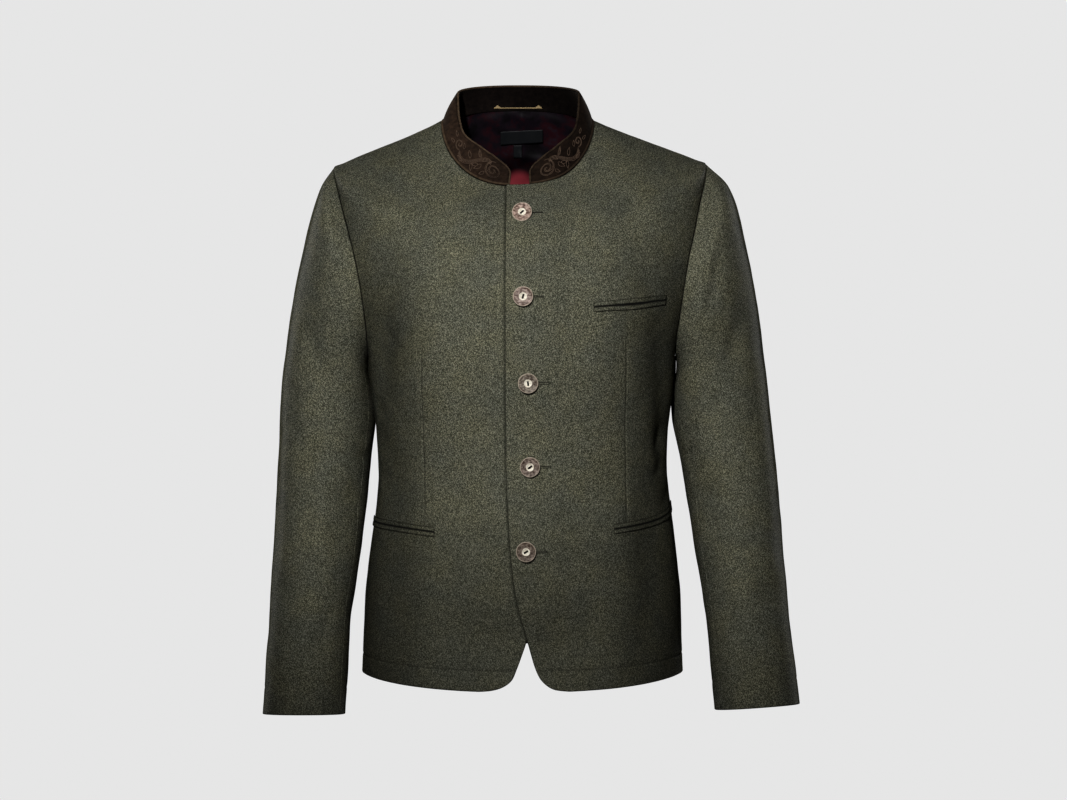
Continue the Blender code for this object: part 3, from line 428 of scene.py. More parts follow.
# The stage: a floor that bends up into a backdrop, and the light.
FLOOR = -1.45
BACKDROP = 4.8
BACKDROP_TOP = 2.6
STAGE_HALF = 6.0
STAGE_FRONT = -6.0
STAGE_BEND = 1.0
BACKDROP_GLOW = 0.829
KEY_PLACE = (-0.42, -2.70, 0.60)
KEY_AIM = (0.00, -0.10, -0.165)
KEY_REACH = 0.74
KEY_POWER = 303.0
KEY_SOFTNESS = 0.06
FILL_PLACE = (0.30, -4.00, 0.30)
FILL_AIM = (0.0, 0.0, -0.30)
FILL_SIZE = (1.8, 1.4)
FILL_POWER = 3.0
BACK_LIGHT_PLACE = (2.5, 2.3, 0.55)
BACK_LIGHT_AIM = (0.1, 0.05, -0.30)
BACK_LIGHT_SIZE = (1.2, 1.6)
BACK_LIGHT_POWER = 60.0
WORLD_FILL = 0.015
VIEW_GAMMA = 0.80


def column(table, columns, name, first=0):
    """Read one named column of a table as an array."""
    place = columns.index(name) + first
    return np.array([row[place] for row in table], dtype=float)


def smooth_values(knots, values, at):
    """Read a smooth curve through the knots that never swings past its own values."""
    knots = np.asarray(knots, dtype=float)
    values = np.asarray(values, dtype=float)
    trail = (1,) * (values.ndim - 1)
    step = np.diff(knots).reshape((-1,) + trail)
    slope = np.diff(values, axis=0) / step
    tangent = np.empty_like(values)
    tangent[0] = slope[0]
    tangent[-1] = slope[-1]
    before, after = slope[:-1], slope[1:]
    rising = before * after > 0.0
    total = np.where(rising, before + after, 1.0)
    tangent[1:-1] = np.where(rising, 2.0 * before * after / total, 0.0)
    at = np.clip(np.atleast_1d(np.asarray(at, dtype=float)), knots[0], knots[-1])
    cell = np.clip(np.searchsorted(knots, at, side="right") - 1, 0, len(knots) - 2)
    width = np.diff(knots)[cell]
    share = ((at - knots[cell]) / width).reshape((-1,) + trail)
    width = width.reshape((-1,) + trail)
    square, cube = share ** 2, share ** 3
    return (
        (2.0 * cube - 3.0 * square + 1.0) * values[cell]
        + (cube - 2.0 * square + share) * width * tangent[cell]
        + (3.0 * square - 2.0 * cube) * values[cell + 1]
        + (cube - square) * width * tangent[cell + 1]
    )


def unit(vectors):
    """Scale each vector to length one."""
    return vectors / np.linalg.norm(vectors, axis=-1, keepdims=True)


def ease(share):
    """Smooth step from 0 to 1."""
    share = np.clip(share, 0.0, 1.0)
    return share * share * (3.0 - 2.0 * share)


def side_knots():
    """Spacing of the body stations, measured along the side and over the shoulder."""
    wide = column(BODY_STATIONS, BODY_COLUMNS, "half_width", 1)
    high = column(BODY_STATIONS, BODY_COLUMNS, "z_side", 1)
    steps = np.hypot(np.diff(wide), np.diff(high))
    return np.concatenate([[0.0], np.cumsum(steps)])


BODY_KNOTS = side_knots()
BODY_VALUES = np.array([row[1:] for row in BODY_STATIONS], dtype=float)
V_UNDERARM = float(BODY_KNOTS[UNDERARM])
V_TIP = float(BODY_KNOTS[TIP])
V_NECK = float(BODY_KNOTS[-1])
ARMHOLE_MIDDLE = 0.5 * (V_UNDERARM + V_TIP)
ARMHOLE_REACH = 0.5 * (V_TIP - V_UNDERARM)


def ring_from(values):
    """Girth from the centre front, then x, y and z along the left half of one ring."""
    row = dict(zip(BODY_COLUMNS, values))
    turn = np.linspace(0.0, math.pi, RING_SAMPLES)
    wide = row["half_width"] * np.abs(np.sin(turn)) ** (2.0 / row["square"])
    share = np.abs(np.cos(turn)) ** (2.0 / row["square"])
    in_front = turn <= math.pi / 2.0
    deep = np.where(in_front, -row["front"], row["back"]) * share
    end_z = np.where(in_front, row["z_front"], row["z_back"])
    high = row["z_side"] + (end_z - row["z_side"]) * share ** row["dip"]
    steps = np.sqrt(np.diff(wide) ** 2 + np.diff(deep) ** 2 + np.diff(high) ** 2)
    girth = np.concatenate([[0.0], np.cumsum(steps)])
    return {
        "girth": girth, "wide": wide, "deep": deep, "high": high, "share": share,
        "x_mid": row["x_mid"], "left_up": row["left_up"] / row["half_width"],
    }


@lru_cache(maxsize=4096)
def body_ring(v):
    """The ring of the body at distance v up from the hem."""
    return ring_from(smooth_values(BODY_KNOTS, BODY_VALUES, v)[0])


def ring_points(ring, around):
    """Points of a ring at the given girths; a negative girth is on the wearer's right."""
    girth = np.abs(around)
    side = np.where(np.asarray(around) < 0.0, -1.0, 1.0)
    across = side * np.interp(girth, ring["girth"], ring["wide"])
    y = np.interp(girth, ring["girth"], ring["deep"])
    z = np.interp(girth, ring["girth"], ring["high"])
    z = z + ring["left_up"] * np.maximum(across, 0.0)
    return np.stack([ring["x_mid"] + across, y, z], axis=-1)


def half_girth(v):
    """Girth from the centre front to the centre back."""
    return body_ring(v)["girth"][-1]


def girth_at_x(v, x):
    """Girth, signed, at which the front half of the ring passes x."""
    ring = body_ring(v)
    half = RING_SAMPLES // 2 + 1
    across = x - ring["x_mid"]
    girth = np.interp(abs(across), ring["wide"][:half], ring["girth"][:half])
    return math.copysign(girth, across)


def girth_at_share(v, share, back):
    """Girth at which the ring is at this share of its front or back depth."""
    ring = body_ring(v)
    half = RING_SAMPLES // 2
    if back:
        return np.interp(share, ring["share"][half:], ring["girth"][half:])
    return np.interp(share, ring["share"][half::-1], ring["girth"][half::-1])


def crease(dx, dz, line):
    """Depth of one soft crease at distances sideways and up from its middle."""
    tilt = math.radians(line["tilt"])
    along = dz * math.cos(tilt) + dx * math.sin(tilt)
    across = dx * math.cos(tilt) - dz * math.sin(tilt)
    reach = np.clip(np.abs(along) / (0.5 * line["length"]), 0.0, 1.0)
    trough = np.exp(-((across / line["width"]) ** 2))
    return CREASE_GAIN * line["depth"] * trough * (1.0 - ease(reach))


def ripples(points):
    """Slow, small unevenness at points in space."""
    draw = np.random.default_rng(11)
    moved = np.zeros(points.shape[:-1])
    for row in RIPPLES:
        wave = dict(zip(RIPPLE_COLUMNS, row))
        for _ in range(wave["count"]):
            way = unit(draw.normal(size=3)) * 2.0 * math.pi
            way = way / (wave["length"] * draw.uniform(0.7, 1.4))
            start = draw.uniform(0.0, 2.0 * math.pi)
            moved += wave["height"] * np.sin(points @ way + start) / 2.0
    return moved


def body_relief(points, around):
    """How far the creases and the uneven cloth move points of the body in or out."""
    moved = ripples(points)
    for row in BODY_CREASES:
        line = dict(zip(CREASE_COLUMNS, row))
        moved += crease(around - line["around"], points[..., 2] - line["height"], line)
    return moved


def body_normals(v, around):
    """Outward directions of the body at girths along the ring at v."""
    reach = 0.004
    around = np.asarray(around, dtype=float)
    low, high = max(v - reach, 0.0), min(v + reach, V_NECK)
    up = ring_points(body_ring(high), around) - ring_points(body_ring(low), around)
    on = ring_points(body_ring(v), around + reach) - ring_points(body_ring(v), around - reach)
    return unit(np.cross(on, up))


def body_grid(heights, girths):
    """Smooth points and outward directions for rows of girths, one row for each height."""
    points = np.array([ring_points(body_ring(v), row) for v, row in zip(heights, girths)])
    normals = np.array([body_normals(v, row) for v, row in zip(heights, girths)])
    return points, normals


def spot(v, girth):
    """Point and outward direction at one place of the body, and how far its relief moves it."""
    girths = np.array([[girth]])
    points, normals = body_grid([v], girths)
    return points[0, 0], normals[0, 0], body_relief(points, girths)[0, 0]


def spots(heights, girths):
    """Smooth points and outward directions at places along a line on the body."""
    grids = [body_grid([v], np.array([[girth]])) for v, girth in zip(heights, girths)]
    return [points[0, 0] for points, _ in grids], [normals[0, 0] for _, normals in grids]


def heights_at(girths, z_values):
    """How far up from the hem the body reaches these heights at these girths."""
    samples = [float(v) for v in np.linspace(0.0, V_NECK, 500)]
    table = np.array([ring_points(body_ring(v), girths)[:, 2] for v in samples])
    return [float(np.interp(z, table[:, k], samples)) for k, z in enumerate(z_values)]


def armhole_place(turn):
    """Station height and girth of the armhole, from 0 at the tip through 180 at the underarm."""
    sweep = abs(math.atan2(math.sin(turn), math.cos(turn)))
    v = ARMHOLE_MIDDLE + ARMHOLE_REACH * math.cos(sweep)
    back = math.sin(turn) < 0.0
    widest = ARMHOLE_BACK_SHARE if back else ARMHOLE_FRONT_SHARE
    return v, girth_at_share(v, widest * math.sin(sweep), back)


def outer_girth(v, back):
    """Girth of the side seam, the armhole or the shoulder seam, whichever bounds the panel."""
    if v <= V_UNDERARM or v >= V_TIP:
        return body_ring(v)["girth"][RING_SAMPLES // 2]
    sweep = math.acos(np.clip((v - ARMHOLE_MIDDLE) / ARMHOLE_REACH, -1.0, 1.0))
    widest = ARMHOLE_BACK_SHARE if back else ARMHOLE_FRONT_SHARE
    return girth_at_share(v, widest * math.sin(sweep), back)


def edge_x(table, z):
    """Where a front's edge runs at a height."""
    heights = column(table, EDGE_COLUMNS, "z")[::-1]
    edges = column(table, EDGE_COLUMNS, "x")[::-1]
    return float(smooth_values(heights, edges, z)[0])


def lap_lift(v, around):
    """How far the left front stands out where it lies on the right front."""
    front_z = body_ring(v)["high"][0]
    cover = max(girth_at_x(v, edge_x(UNDER_EDGE, front_z)), 0.0) + LAP_REACH
    share = (np.asarray(around) - cover) / LAP_RAMP
    return (WOOL + LAP_CLEARANCE) * (1.0 - ease(share))


def between(start, end, step, close=(0.0004, 0.0010, 0.0018, 0.0030, 0.0050)):
    """Places from start to end, close together at both ends, where the cloth's edge is rounded."""
    close = [c for c in close if c < 0.3 * (end - start)]
    first = start + np.array([0.0] + close)
    last = end - np.array(close[::-1] + [0.0])
    count = max(int(round((last[0] - first[-1]) / step)), 1)
    middle = np.linspace(first[-1], last[0], count + 1)[1:-1]
    return np.concatenate([first, middle, last])


def panel_heights(step):
    """Rows of a body panel: close at the hem, its sewn line, the armhole's ends and the neck."""
    corner = BODY_KNOTS[1] * 0.25 * np.linspace(0.0, 1.0, 16) ** 1.5
    sewn = HEM_LINE + HEM_LINE_WIDTH * np.array([-1.5, -0.8, -0.35, 0.0, 0.35, 0.8, 1.5])
    side = np.arange(0.028, V_UNDERARM - 0.004, step)
    sweep = np.linspace(math.pi, 0.0, 54)
    armhole = ARMHOLE_MIDDLE + ARMHOLE_REACH * np.cos(sweep)
    shoulder = between(V_TIP, V_NECK - NECK_DROP, step, close=(0.0010, 0.0030))[1:]
    rows = np.unique(np.concatenate([corner, sewn, side, armhole, shoulder]).round(6))
    rows = rows[np.concatenate([[True], np.diff(rows) > LEAST_ROW_GAP])]
    rows[-1] = V_NECK - NECK_DROP
    return [float(v) for v in rows]


def edge_distance(grid):
    """How far each point of a grid is from the grid's own outline."""
    rim = np.concatenate([grid[0], grid[1:, -1], grid[-1, -2::-1], grid[-2:0:-1, 0]])
    tree_points = []
    for here, there in zip(rim, np.roll(rim, -1, axis=0)):
        count = max(int(np.linalg.norm(there - here) / 0.0004), 1)
        share = np.linspace(0.0, 1.0, count, endpoint=False)[:, None]
        tree_points.append(here + (there - here) * share)
    tree_points = np.concatenate(tree_points)
    tree = kdtree.KDTree(len(tree_points))
    for number, point in enumerate(tree_points):
        tree.insert(point, number)
    tree.balance()
    flat = grid.reshape(-1, 3)
    return np.array([tree.find(point)[2] for point in flat]).reshape(grid.shape[:2])


def roundness(distance, radius):
    """How far a rounded edge falls back at a distance from the edge."""
    near = np.clip(radius - distance, 0.0, radius)
    return radius - np.sqrt(radius ** 2 - near ** 2)


def add_values(mesh, name, values):
    """Store one number for each point of a mesh, for its material to read."""
    layer = mesh.attributes.new(name, "FLOAT", "POINT")
    layer.data.foreach_set("value", values.astype(np.float32))


def mesh_from(name, points, faces, uv, edge, inside):
    """A mesh from arrays, with a map in metres, the distance to the edge, and an inner face."""
    mesh = bpy.data.meshes.new(name)
    starts = np.arange(0, faces.size, faces.shape[1], dtype=np.int32)
    totals = np.full(len(faces), faces.shape[1], dtype=np.int32)
    mesh.vertices.add(len(points))
    mesh.vertices.foreach_set("co", np.asarray(points, dtype=np.float32).ravel())
    mesh.loops.add(faces.size)
    mesh.loops.foreach_set("vertex_index", faces.ravel().astype(np.int32))
    mesh.polygons.add(len(faces))
    mesh.polygons.foreach_set("loop_start", starts)
    mesh.polygons.foreach_set("loop_total", totals)
    layer = mesh.uv_layers.new(name="cloth")
    layer.data.foreach_set("uv", uv[faces.ravel()].astype(np.float32).ravel())
    add_values(mesh, "edge", edge)
    mesh.polygons.foreach_set("material_index", inside.astype(np.int32))
    mesh.update(calc_edges=True)
    mesh.validate()
    mesh.shade_smooth()
    return mesh


def add_piece(name, mesh, materials, replaces=()):
    """Put a finished mesh into the scene, riding on the jacket."""
    for material in materials:
        mesh.materials.append(material)
    piece = bpy.data.objects.new(name, mesh)
    bpy.context.scene.collection.objects.link(piece)
    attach(piece, "root")
    if replaces:
        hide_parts(*replaces)
    return piece


def shell(
    name, points, normals, lift, thickness, uv, materials, replaces=(),
    facing=0.0, sewn=None, soften=0.0,
):
    """A closed, thin wall of cloth with rounded edges, from smooth points and how far they move.

    The inner face takes the last material, except within the facing's width of the edge. The edge
    values, which materials darken as painted shade, are the distance to the edge or to a sewn line.
    """
    rows, columns = points.shape[:2]
    moved = points + normals * lift[..., None]
    distance = edge_distance(moved)
    fall = roundness(distance, 0.47 * thickness)
    outer = points + normals * (lift - fall)[..., None]
    inner = points + normals * (lift - thickness + fall)[..., None]
    verts = np.concatenate([outer.reshape(-1, 3), inner.reshape(-1, 3)])
    index = np.arange(rows * columns).reshape(rows, columns)
    quads = np.stack([index[:-1, :-1], index[:-1, 1:], index[1:, 1:], index[1:, :-1]], axis=-1)
    quads = quads.reshape(-1, 4)
    rim = np.concatenate([index[0], index[1:, -1], index[-1, -2::-1], index[-2:0:-1, 0]])
    after = np.roll(rim, -1)
    under = rows * columns
    sides = np.stack([after, rim, rim + under, after + under], axis=-1)
    faces = np.concatenate([quads, quads[:, ::-1] + under, sides])
    a, b, c, d = (verts[faces[:, k]] for k in range(4))
    volume = (a * (np.cross(b, c) + np.cross(c, d))).sum()
    if volume < 0.0:
        faces = faces[:, ::-1]
    inside = np.zeros(len(faces))
    deep = distance.reshape(-1)[quads].min(axis=1) > facing
    inside[len(quads):2 * len(quads)] = deep * (len(materials) - 1)
    both = np.concatenate([uv.reshape(-1, 2)] * 2)
    shade = distance + soften
    shade = shade if sewn is None else np.minimum(shade, sewn)
    edge = np.concatenate([shade.reshape(-1), distance.reshape(-1)])
    mesh = mesh_from(name, verts, faces, both, edge, inside)
    return add_piece(name, mesh, materials, replaces)


def tube_mesh(name, paths, radius, sides=6, wave=0.0, wave_length=0.0016):
    """Round threads along smooth paths, joined in one mesh; a wave makes them look twisted."""
    verts, faces = [], []
    turns = np.arange(sides) * 2.0 * math.pi / sides
    for path in paths:
        path = np.asarray(path, dtype=float)
        tangents = unit(np.gradient(path, axis=0))
        along = np.concatenate([[0.0], np.cumsum(np.linalg.norm(np.diff(path, axis=0), axis=1))])
        guide = np.array([0.0, 0.0, 1.0])
        if abs(tangents[0][2]) > 0.9:
            guide = np.array([1.0, 0.0, 0.0])
        first = len(verts)
        for point, tangent, far in zip(path, tangents, along):
            guide = unit(guide - tangent * np.dot(guide, tangent))
            other = np.cross(tangent, guide)
            size = radius * (1.0 + wave * math.sin(2.0 * math.pi * far / wave_length))
            spokes = np.cos(turns)[:, None] * guide + np.sin(turns)[:, None] * other
            verts.extend(point + size * spokes)
        for ring in range(len(path) - 1):
            low = first + ring * sides
            for k in range(sides):
                on = (k + 1) % sides
                faces.append((low + k, low + on, low + sides + on, low + sides + k))
        for start, flip in ((first, True), (first + (len(path) - 1) * sides, False)):
            centre = len(verts)
            verts.append(np.mean(verts[start:start + sides], axis=0))
            for k in range(sides):
                pair = (start + k, start + (k + 1) % sides)
                pair = pair[::-1] if flip else pair
                faces.append((centre,) + pair)
    mesh = bpy.data.meshes.new(name)
    mesh.from_pydata([tuple(v) for v in verts], [], faces)
    mesh.update()
    mesh.shade_smooth()
    return mesh


def dart_line(start, end, side):
    """Girth of the dart's line, kept within the panel where it narrows."""
    share = (DART_GIRTH[side] - start) / (end - start)
    return start + (end - start) * float(np.clip(share, *DART_SHARES))


def groove(distance, depth, width):
    """Depth of a sewn line's groove at a distance from it."""
    return depth * np.exp(-((distance / width) ** 2))


def edge_rows(span):
    """How close a cloth's rows lie near its edges, as shares of a span."""
    return tuple(row / span for row in EDGE_ROWS)


def hem_shade(up):
    """Distance that stands for the hem's sewn line, whose painted shade is only slight."""
    return 0.6 * np.abs(up - HEM_LINE) + 2.0 * SEWN_LIGHT


def make_front(name, side, replaces, wool, lining):
    """A front panel with its dart and hem line."""
    step, row_step = FRONT_STEPS
    heights = panel_heights(row_step)
    table = LAP_EDGE if side > 0.0 else UNDER_EDGE
    share = between(0.0, 1.0, step / FRONT_SPAN, close=edge_rows(FRONT_SPAN))
    girths, darts = [], []
    for v in heights:
        start = girth_at_x(v, edge_x(table, body_ring(v)["high"][0])) * side
        end = outer_girth(v, back=False) - 0.5 * SEAM_GAP
        middle = dart_line(start, end, side)
        near, far = start + (middle - start) * share, middle + (end - middle) * share[1:]
        girths.append(side * np.concatenate([near, far]))
        darts.append(side * middle)
    girths, from_dart = np.array(girths), np.array(girths) - np.array(darts)[:, None]
    points, normals = body_grid(heights, girths)
    lift = body_relief(points, girths)
    at_lap = np.full(girths.shape, 1.0)
    if side > 0.0:
        lift += np.array([lap_lift(v, row) for v, row in zip(heights, girths)])
    else:
        # Painted shadow on the right front, just beside the edge of the left front that lies over
        # it.
        lap = np.array([edge_x(LAP_EDGE, body_ring(v)["high"][0]) for v in heights])
        at_lap = 0.5 * np.maximum(lap[:, None] - points[..., 0], 0.0) + 0.0002
    z = points[..., 2]
    shown = ease((DART_TOP - z) / DART_FADES[0]) * ease((z - DART_LOW) / DART_FADES[1])
    up = np.array(heights)[:, None] + 0.0 * girths
    lift -= shown * groove(from_dart, DART_DEPTH, DART_WIDTH)
    lift -= groove(up - HEM_LINE, HEM_LINE_DEPTH, HEM_LINE_WIDTH)
    # Painted shade along the dart and the hem's sewn line.
    at_dart = np.abs(from_dart) + 1.7 * SEWN_LIGHT + 0.004 * (1.0 - shown)
    sewn = np.minimum(at_lap, np.minimum(at_dart, hem_shade(up)))
    uv = np.stack([girths, up], axis=-1)
    piece = shell(
        name, points, normals, lift, WOOL, uv, (wool, lining), replaces,
        facing=FACING_WIDTH, sewn=sewn,
    )


def make_back(name, side, replaces, wool, lining):
    """A back panel from the side seam to the centre back."""
    step, row_step = BACK_STEPS
    heights = panel_heights(row_step)
    share = between(0.0, 1.0, step / BACK_SPAN, close=edge_rows(BACK_SPAN))
    girths = []
    for v in heights:
        start = outer_girth(v, back=True) + 0.5 * SEAM_GAP
        end = half_girth(v) - 0.5 * SEAM_GAP
        girths.append(side * (start + (end - start) * share))
    girths = np.array(girths)
    points, normals = body_grid(heights, girths)
    up = np.array(heights)[:, None] + 0.0 * girths
    lift = body_relief(points, girths) - groove(up - HEM_LINE, HEM_LINE_DEPTH, HEM_LINE_WIDTH)
    uv = np.stack([girths, up], axis=-1)
    piece = shell(
        name, points, normals, lift, WOOL, uv, (wool, lining), replaces, sewn=hem_shade(up),
    )


def armhole_start(side, turn):
    """First point of the sleeve: the armhole's edge, moved off the panel by the gap."""

    def edge_point(at_turn):
        v, around = armhole_place(at_turn)
        point, outward, lift = spot(v, side * around)
        return point + outward * lift, outward

    here, outward = edge_point(turn)
    before, after = edge_point(turn - ARMHOLE_STEP)[0], edge_point(turn + ARMHOLE_STEP)[0]
    away = unit(np.cross(after - before, outward))
    middle = np.array(SLEEVE_MIDDLE) * (side, 1.0, 1.0)
    if np.dot(away, middle - here) < 0.0:
        away = -away
    return here + ARMHOLE_GAP * away


def sleeve_rings(side, turns):
    """Points of every ring of a sleeve at the given turns round it."""
    table = SLEEVE_LEFT if side > 0 else SLEEVE_RIGHT
    rings = [np.array([armhole_start(side, turn) for turn in turns])]
    power = 2.0 / SLEEVE_SQUARE
    cos, sin = np.cos(turns), np.sin(turns)
    outward = np.sign(cos) * np.abs(cos) ** power
    forward = np.sign(sin) * np.abs(sin) ** power
    for row in table:
        ring = dict(zip(SLEEVE_COLUMNS, row))
        x, z = (
            0.5 * (ring[axis + "_out"] + ring[axis + "_in"])
            + 0.5 * (ring[axis + "_out"] - ring[axis + "_in"]) * outward
            for axis in "xz"
        )
        y = ring["y_mid"] - ring["half_depth"] * forward
        rings.append(np.stack([side * x, y, z], axis=-1))
    rings[-1][:, 2] += CUFF_LIFT * np.maximum(forward, 0.0)
    return np.array(rings)


def sleeve_knots(side):
    """Spacing of the sleeve's rings, measured down its middle from the armhole."""
    turns = np.linspace(0.0, 2.0 * math.pi, 16, endpoint=False)
    middles = sleeve_rings(side, turns).mean(axis=1)
    steps = np.linalg.norm(np.diff(middles, axis=0), axis=1)
    return np.concatenate([[0.0], np.cumsum(steps)])


def sleeve_relief(points, along, turns, side):
    """How far creases and unevenness move points of the sleeve in or out."""
    moved = np.zeros(points.shape[:2])
    for row in SLEEVE_CREASES:
        line = dict(zip(SLEEVE_CREASE_COLUMNS, row))
        if line["side"] * side < 0.0:
            continue
        away = turns - math.radians(line["around"])
        dx = np.arctan2(np.sin(away), np.cos(away)) * SLEEVE_RADIUS
        moved += crease(dx, along - line["along"], line)
    return (moved + ripples(points)) * ease(along / SLEEVE_FADE_IN)


def make_sleeve(name, side, seams, replaces, wool, lining):
    """One cut piece of a sleeve, from the armhole to the cuff, between two seams in degrees."""
    knots = sleeve_knots(side)
    cuff = float(knots[-1])
    step, row_step = SLEEVE_STEPS
    half_gap = 0.5 * SEAM_GAP / SLEEVE_MAP_RADIUS
    lengths = between(0.0, cuff, row_step)
    low, high = math.radians(seams[0]) + half_gap, math.radians(seams[1]) - half_gap
    turns = between(low, high, step / SLEEVE_MAP_RADIUS, close=edge_rows(SLEEVE_MAP_RADIUS))
    rings = sleeve_rings(side, turns)
    reach_turn, reach_along = 0.03, 0.003
    points = smooth_values(knots, rings, lengths)
    left, right = (
        smooth_values(knots, sleeve_rings(side, turns + away), lengths)
        for away in (-reach_turn, reach_turn)
    )
    up = smooth_values(knots, rings, np.maximum(lengths - reach_along, 0.0))
    down = smooth_values(knots, rings, np.minimum(lengths + reach_along, cuff))
    normals = unit(np.cross(up - down, right - left)) * side
    along, round_it = np.meshgrid(lengths, turns, indexing="ij")
    hem = cuff - HEM_LINE - 0.010
    lift = sleeve_relief(points, along, round_it, side)
    lift -= groove(along - hem, 0.6 * HEM_LINE_DEPTH, HEM_LINE_WIDTH)
    uv = np.stack([round_it * SLEEVE_MAP_RADIUS, -along], axis=-1)
    # Less painted shade along the sleeve's long seams.
    seam = (along > 0.012) & (along < cuff - 0.006)
    piece = shell(
        name, points, normals, lift, WOOL, uv, (wool, lining), replaces,
        soften=0.0011 * seam,
    )


def collar_line(around, edge):
    """Points of the collar's neck seam (edge 0) or top edge (edge 1) at girths along the seam."""
    seam = body_ring(V_NECK)
    if edge == 0:
        return ring_points(seam, around)
    top = ring_from(COLLAR_TOP[1:])
    return ring_points(top, around * top["girth"][-1] / seam["girth"][-1])


def collar_tall(around):
    """How tall the collar stands, along its slope, at girths along the neck seam."""
    return np.linalg.norm(collar_line(around, 1) - collar_line(around, 0), axis=-1)


def collar_frame(around, rise):
    """Points of the collar's outer face and their outward directions."""
    around = np.asarray(around, dtype=float)
    share = np.asarray(rise, dtype=float) / collar_tall(around)
    lift = np.where(around > 0.0, lap_lift(V_NECK, around), 0.0)

    def surface(along):
        base = collar_line(along, 0)
        return base + (collar_line(along, 1) - base) * share[..., None]

    up = collar_line(around, 1) - collar_line(around, 0)
    outward = unit(np.cross(surface(around + COLLAR_STEP) - surface(around - COLLAR_STEP), up))
    bulge = COLLAR_BULGE * np.sin(math.pi * np.clip(share, 0.0, 1.0))
    return surface(around) + outward * (bulge + lift)[..., None], outward


def collar_ends():
    """Girths of the right and left ends of the collar."""
    return girth_at_x(V_NECK, COLLAR_END_RIGHT), girth_at_x(V_NECK, COLLAR_END_LEFT)


def collar_girths(end, step):
    """Girths along half of the neck seam, from one collar end to the centre back."""
    whole = half_girth(V_NECK) - abs(end)
    corner = COLLAR_CORNER * (1.0 - np.cos(np.linspace(0.0, math.pi / 2.0, 12)))
    rest = np.linspace(COLLAR_CORNER, whole, int((whole - COLLAR_CORNER) / step))[1:]
    return end + math.copysign(1.0, end) * np.concatenate([corner, rest])


def collar_rise(around, end):
    """Height of the collar's top edge above the seam: lowest and round at the front corner."""
    along = np.abs(around - end)
    near = np.clip(COLLAR_CORNER - along, 0.0, COLLAR_CORNER)
    swell = COLLAR_SWELL * np.sin(0.5 * math.pi * np.clip(along / COLLAR_SWELL_FULL, 0.0, 1.0))
    swell *= 1.0 - ease((along - COLLAR_SWELL_FADE[0]) / COLLAR_SWELL_FADE[1])
    return collar_tall(around) + swell - COLLAR_CORNER + np.sqrt(COLLAR_CORNER ** 2 - near ** 2)


def make_collar(name, depth, thickness, low, material, replaces):
    """One layer of the stand collar, from end to end round the back of the neck."""
    share = between(0.0, 1.0, 0.05, close=(0.012, 0.03, 0.055, 0.09))
    girths, rises = [], []
    for end in collar_ends():
        line = collar_girths(end, COLLAR_GIRTH_STEP)
        girths.append(np.repeat(line[:, None], len(share), axis=1))
        tops = collar_rise(line, end)
        rises.append(low + (tops[:, None] - low) * share)
    around = np.concatenate([girths[0], girths[1][-2::-1]])
    rise = np.concatenate([rises[0], rises[1][-2::-1]])
    points, normals = collar_frame(around, rise)
    lift = 0.4 * ripples(points * 1.5) - depth
    if low < 0.0:
        lift -= (LINING_CLEARANCE + SATIN) * ease((SEAM_LAP - rise) / SEAM_LAP)
    uv = np.stack([around, rise], axis=-1)
    piece = shell(name, points, normals, lift, thickness, uv, (material,), replaces)


def edge_path(end, count):
    """Girths and rises along a collar end and on along half of its top edge."""
    line = collar_girths(end, PIPING_GIRTH_STEP)
    tops = collar_rise(line, end)
    climb = tops[0] * np.linspace(0.06, 0.97, count)
    return np.concatenate([np.full(count, end), line]), np.concatenate([climb, tops])


def make_piping(name, material, replaces):
    """Cord along the collar's ends and top edge, and a second one along its neck seam."""
    depth = 0.5 * (SUEDE + SEAM_GAP + COLLAR_LINING)
    ends = collar_ends()
    halves = [edge_path(end, 8) for end in ends]
    around = np.concatenate([halves[0][0], halves[1][0][-2::-1]])
    rise = np.concatenate([halves[0][1], halves[1][1][-2::-1]])
    points, normals = collar_frame(around, rise)
    edge = points - normals * depth
    off_edge = unit(np.cross(np.gradient(edge, axis=0), normals))
    middle = len(edge) // 2
    below = collar_frame(around[middle:middle + 1], [0.0])[0][0]
    off_edge *= math.copysign(1.0, float(np.dot(off_edge[middle], edge[middle] - below)))
    top = edge + off_edge * (PIPING_RADIUS - PIPING_SINK)
    whole = half_girth(V_NECK)
    around = np.concatenate([np.linspace(ends[0], -whole, 90), np.linspace(whole, ends[1], 90)[1:]])
    points, normals = collar_frame(around, np.full(len(around), PIPING_SEAM_RISE))
    seam = points + normals * PIPING_SEAM_LIFT
    mesh = tube_mesh(name, [top, seam], PIPING_RADIUS, sides=10)
    add_piece(name, mesh, (material,), replaces)


def spiral(centre, radius, turns, start, hand):
    """A spiral from its centre outwards, as distances along and up the collar."""
    sweep = np.linspace(0.35, turns * 2.0 * math.pi, int(26 * turns))
    size = radius * (sweep / sweep[-1]) ** 0.8
    angle = math.radians(start) + hand * (sweep - sweep[-1])
    return np.stack([centre[0] + size * np.cos(angle), centre[1] + size * np.sin(angle)], axis=-1)


def bend(points, count=30):
    """A smooth line through a few places."""
    points = np.asarray(points, dtype=float)
    knots = np.linspace(0.0, 1.0, len(points))
    at = np.linspace(0.0, 1.0, count)
    coefficients = [np.polyfit(knots, points[:, k], len(points) - 1) for k in (0, 1)]
    return np.stack([np.polyval(c, at) for c in coefficients], axis=-1)


def leaf(root, length, width, angle, hook):
    """The outline of a small curved leaf, from its root and back."""
    t = np.linspace(0.0, 1.0, 14)
    spine = np.stack([length * t, hook * length * t ** 2], axis=-1)
    half = 0.5 * width * np.sin(math.pi * t ** 0.8)
    outline = np.concatenate([
        spine + np.stack([0.0 * t, half], axis=-1),
        (spine - np.stack([0.0 * t, half], axis=-1))[::-1],
    ])
    turn = math.radians(angle)
    spin = np.array([[math.cos(turn), math.sin(turn)], [-math.sin(turn), math.cos(turn)]])
    return outline @ spin + np.asarray(root)


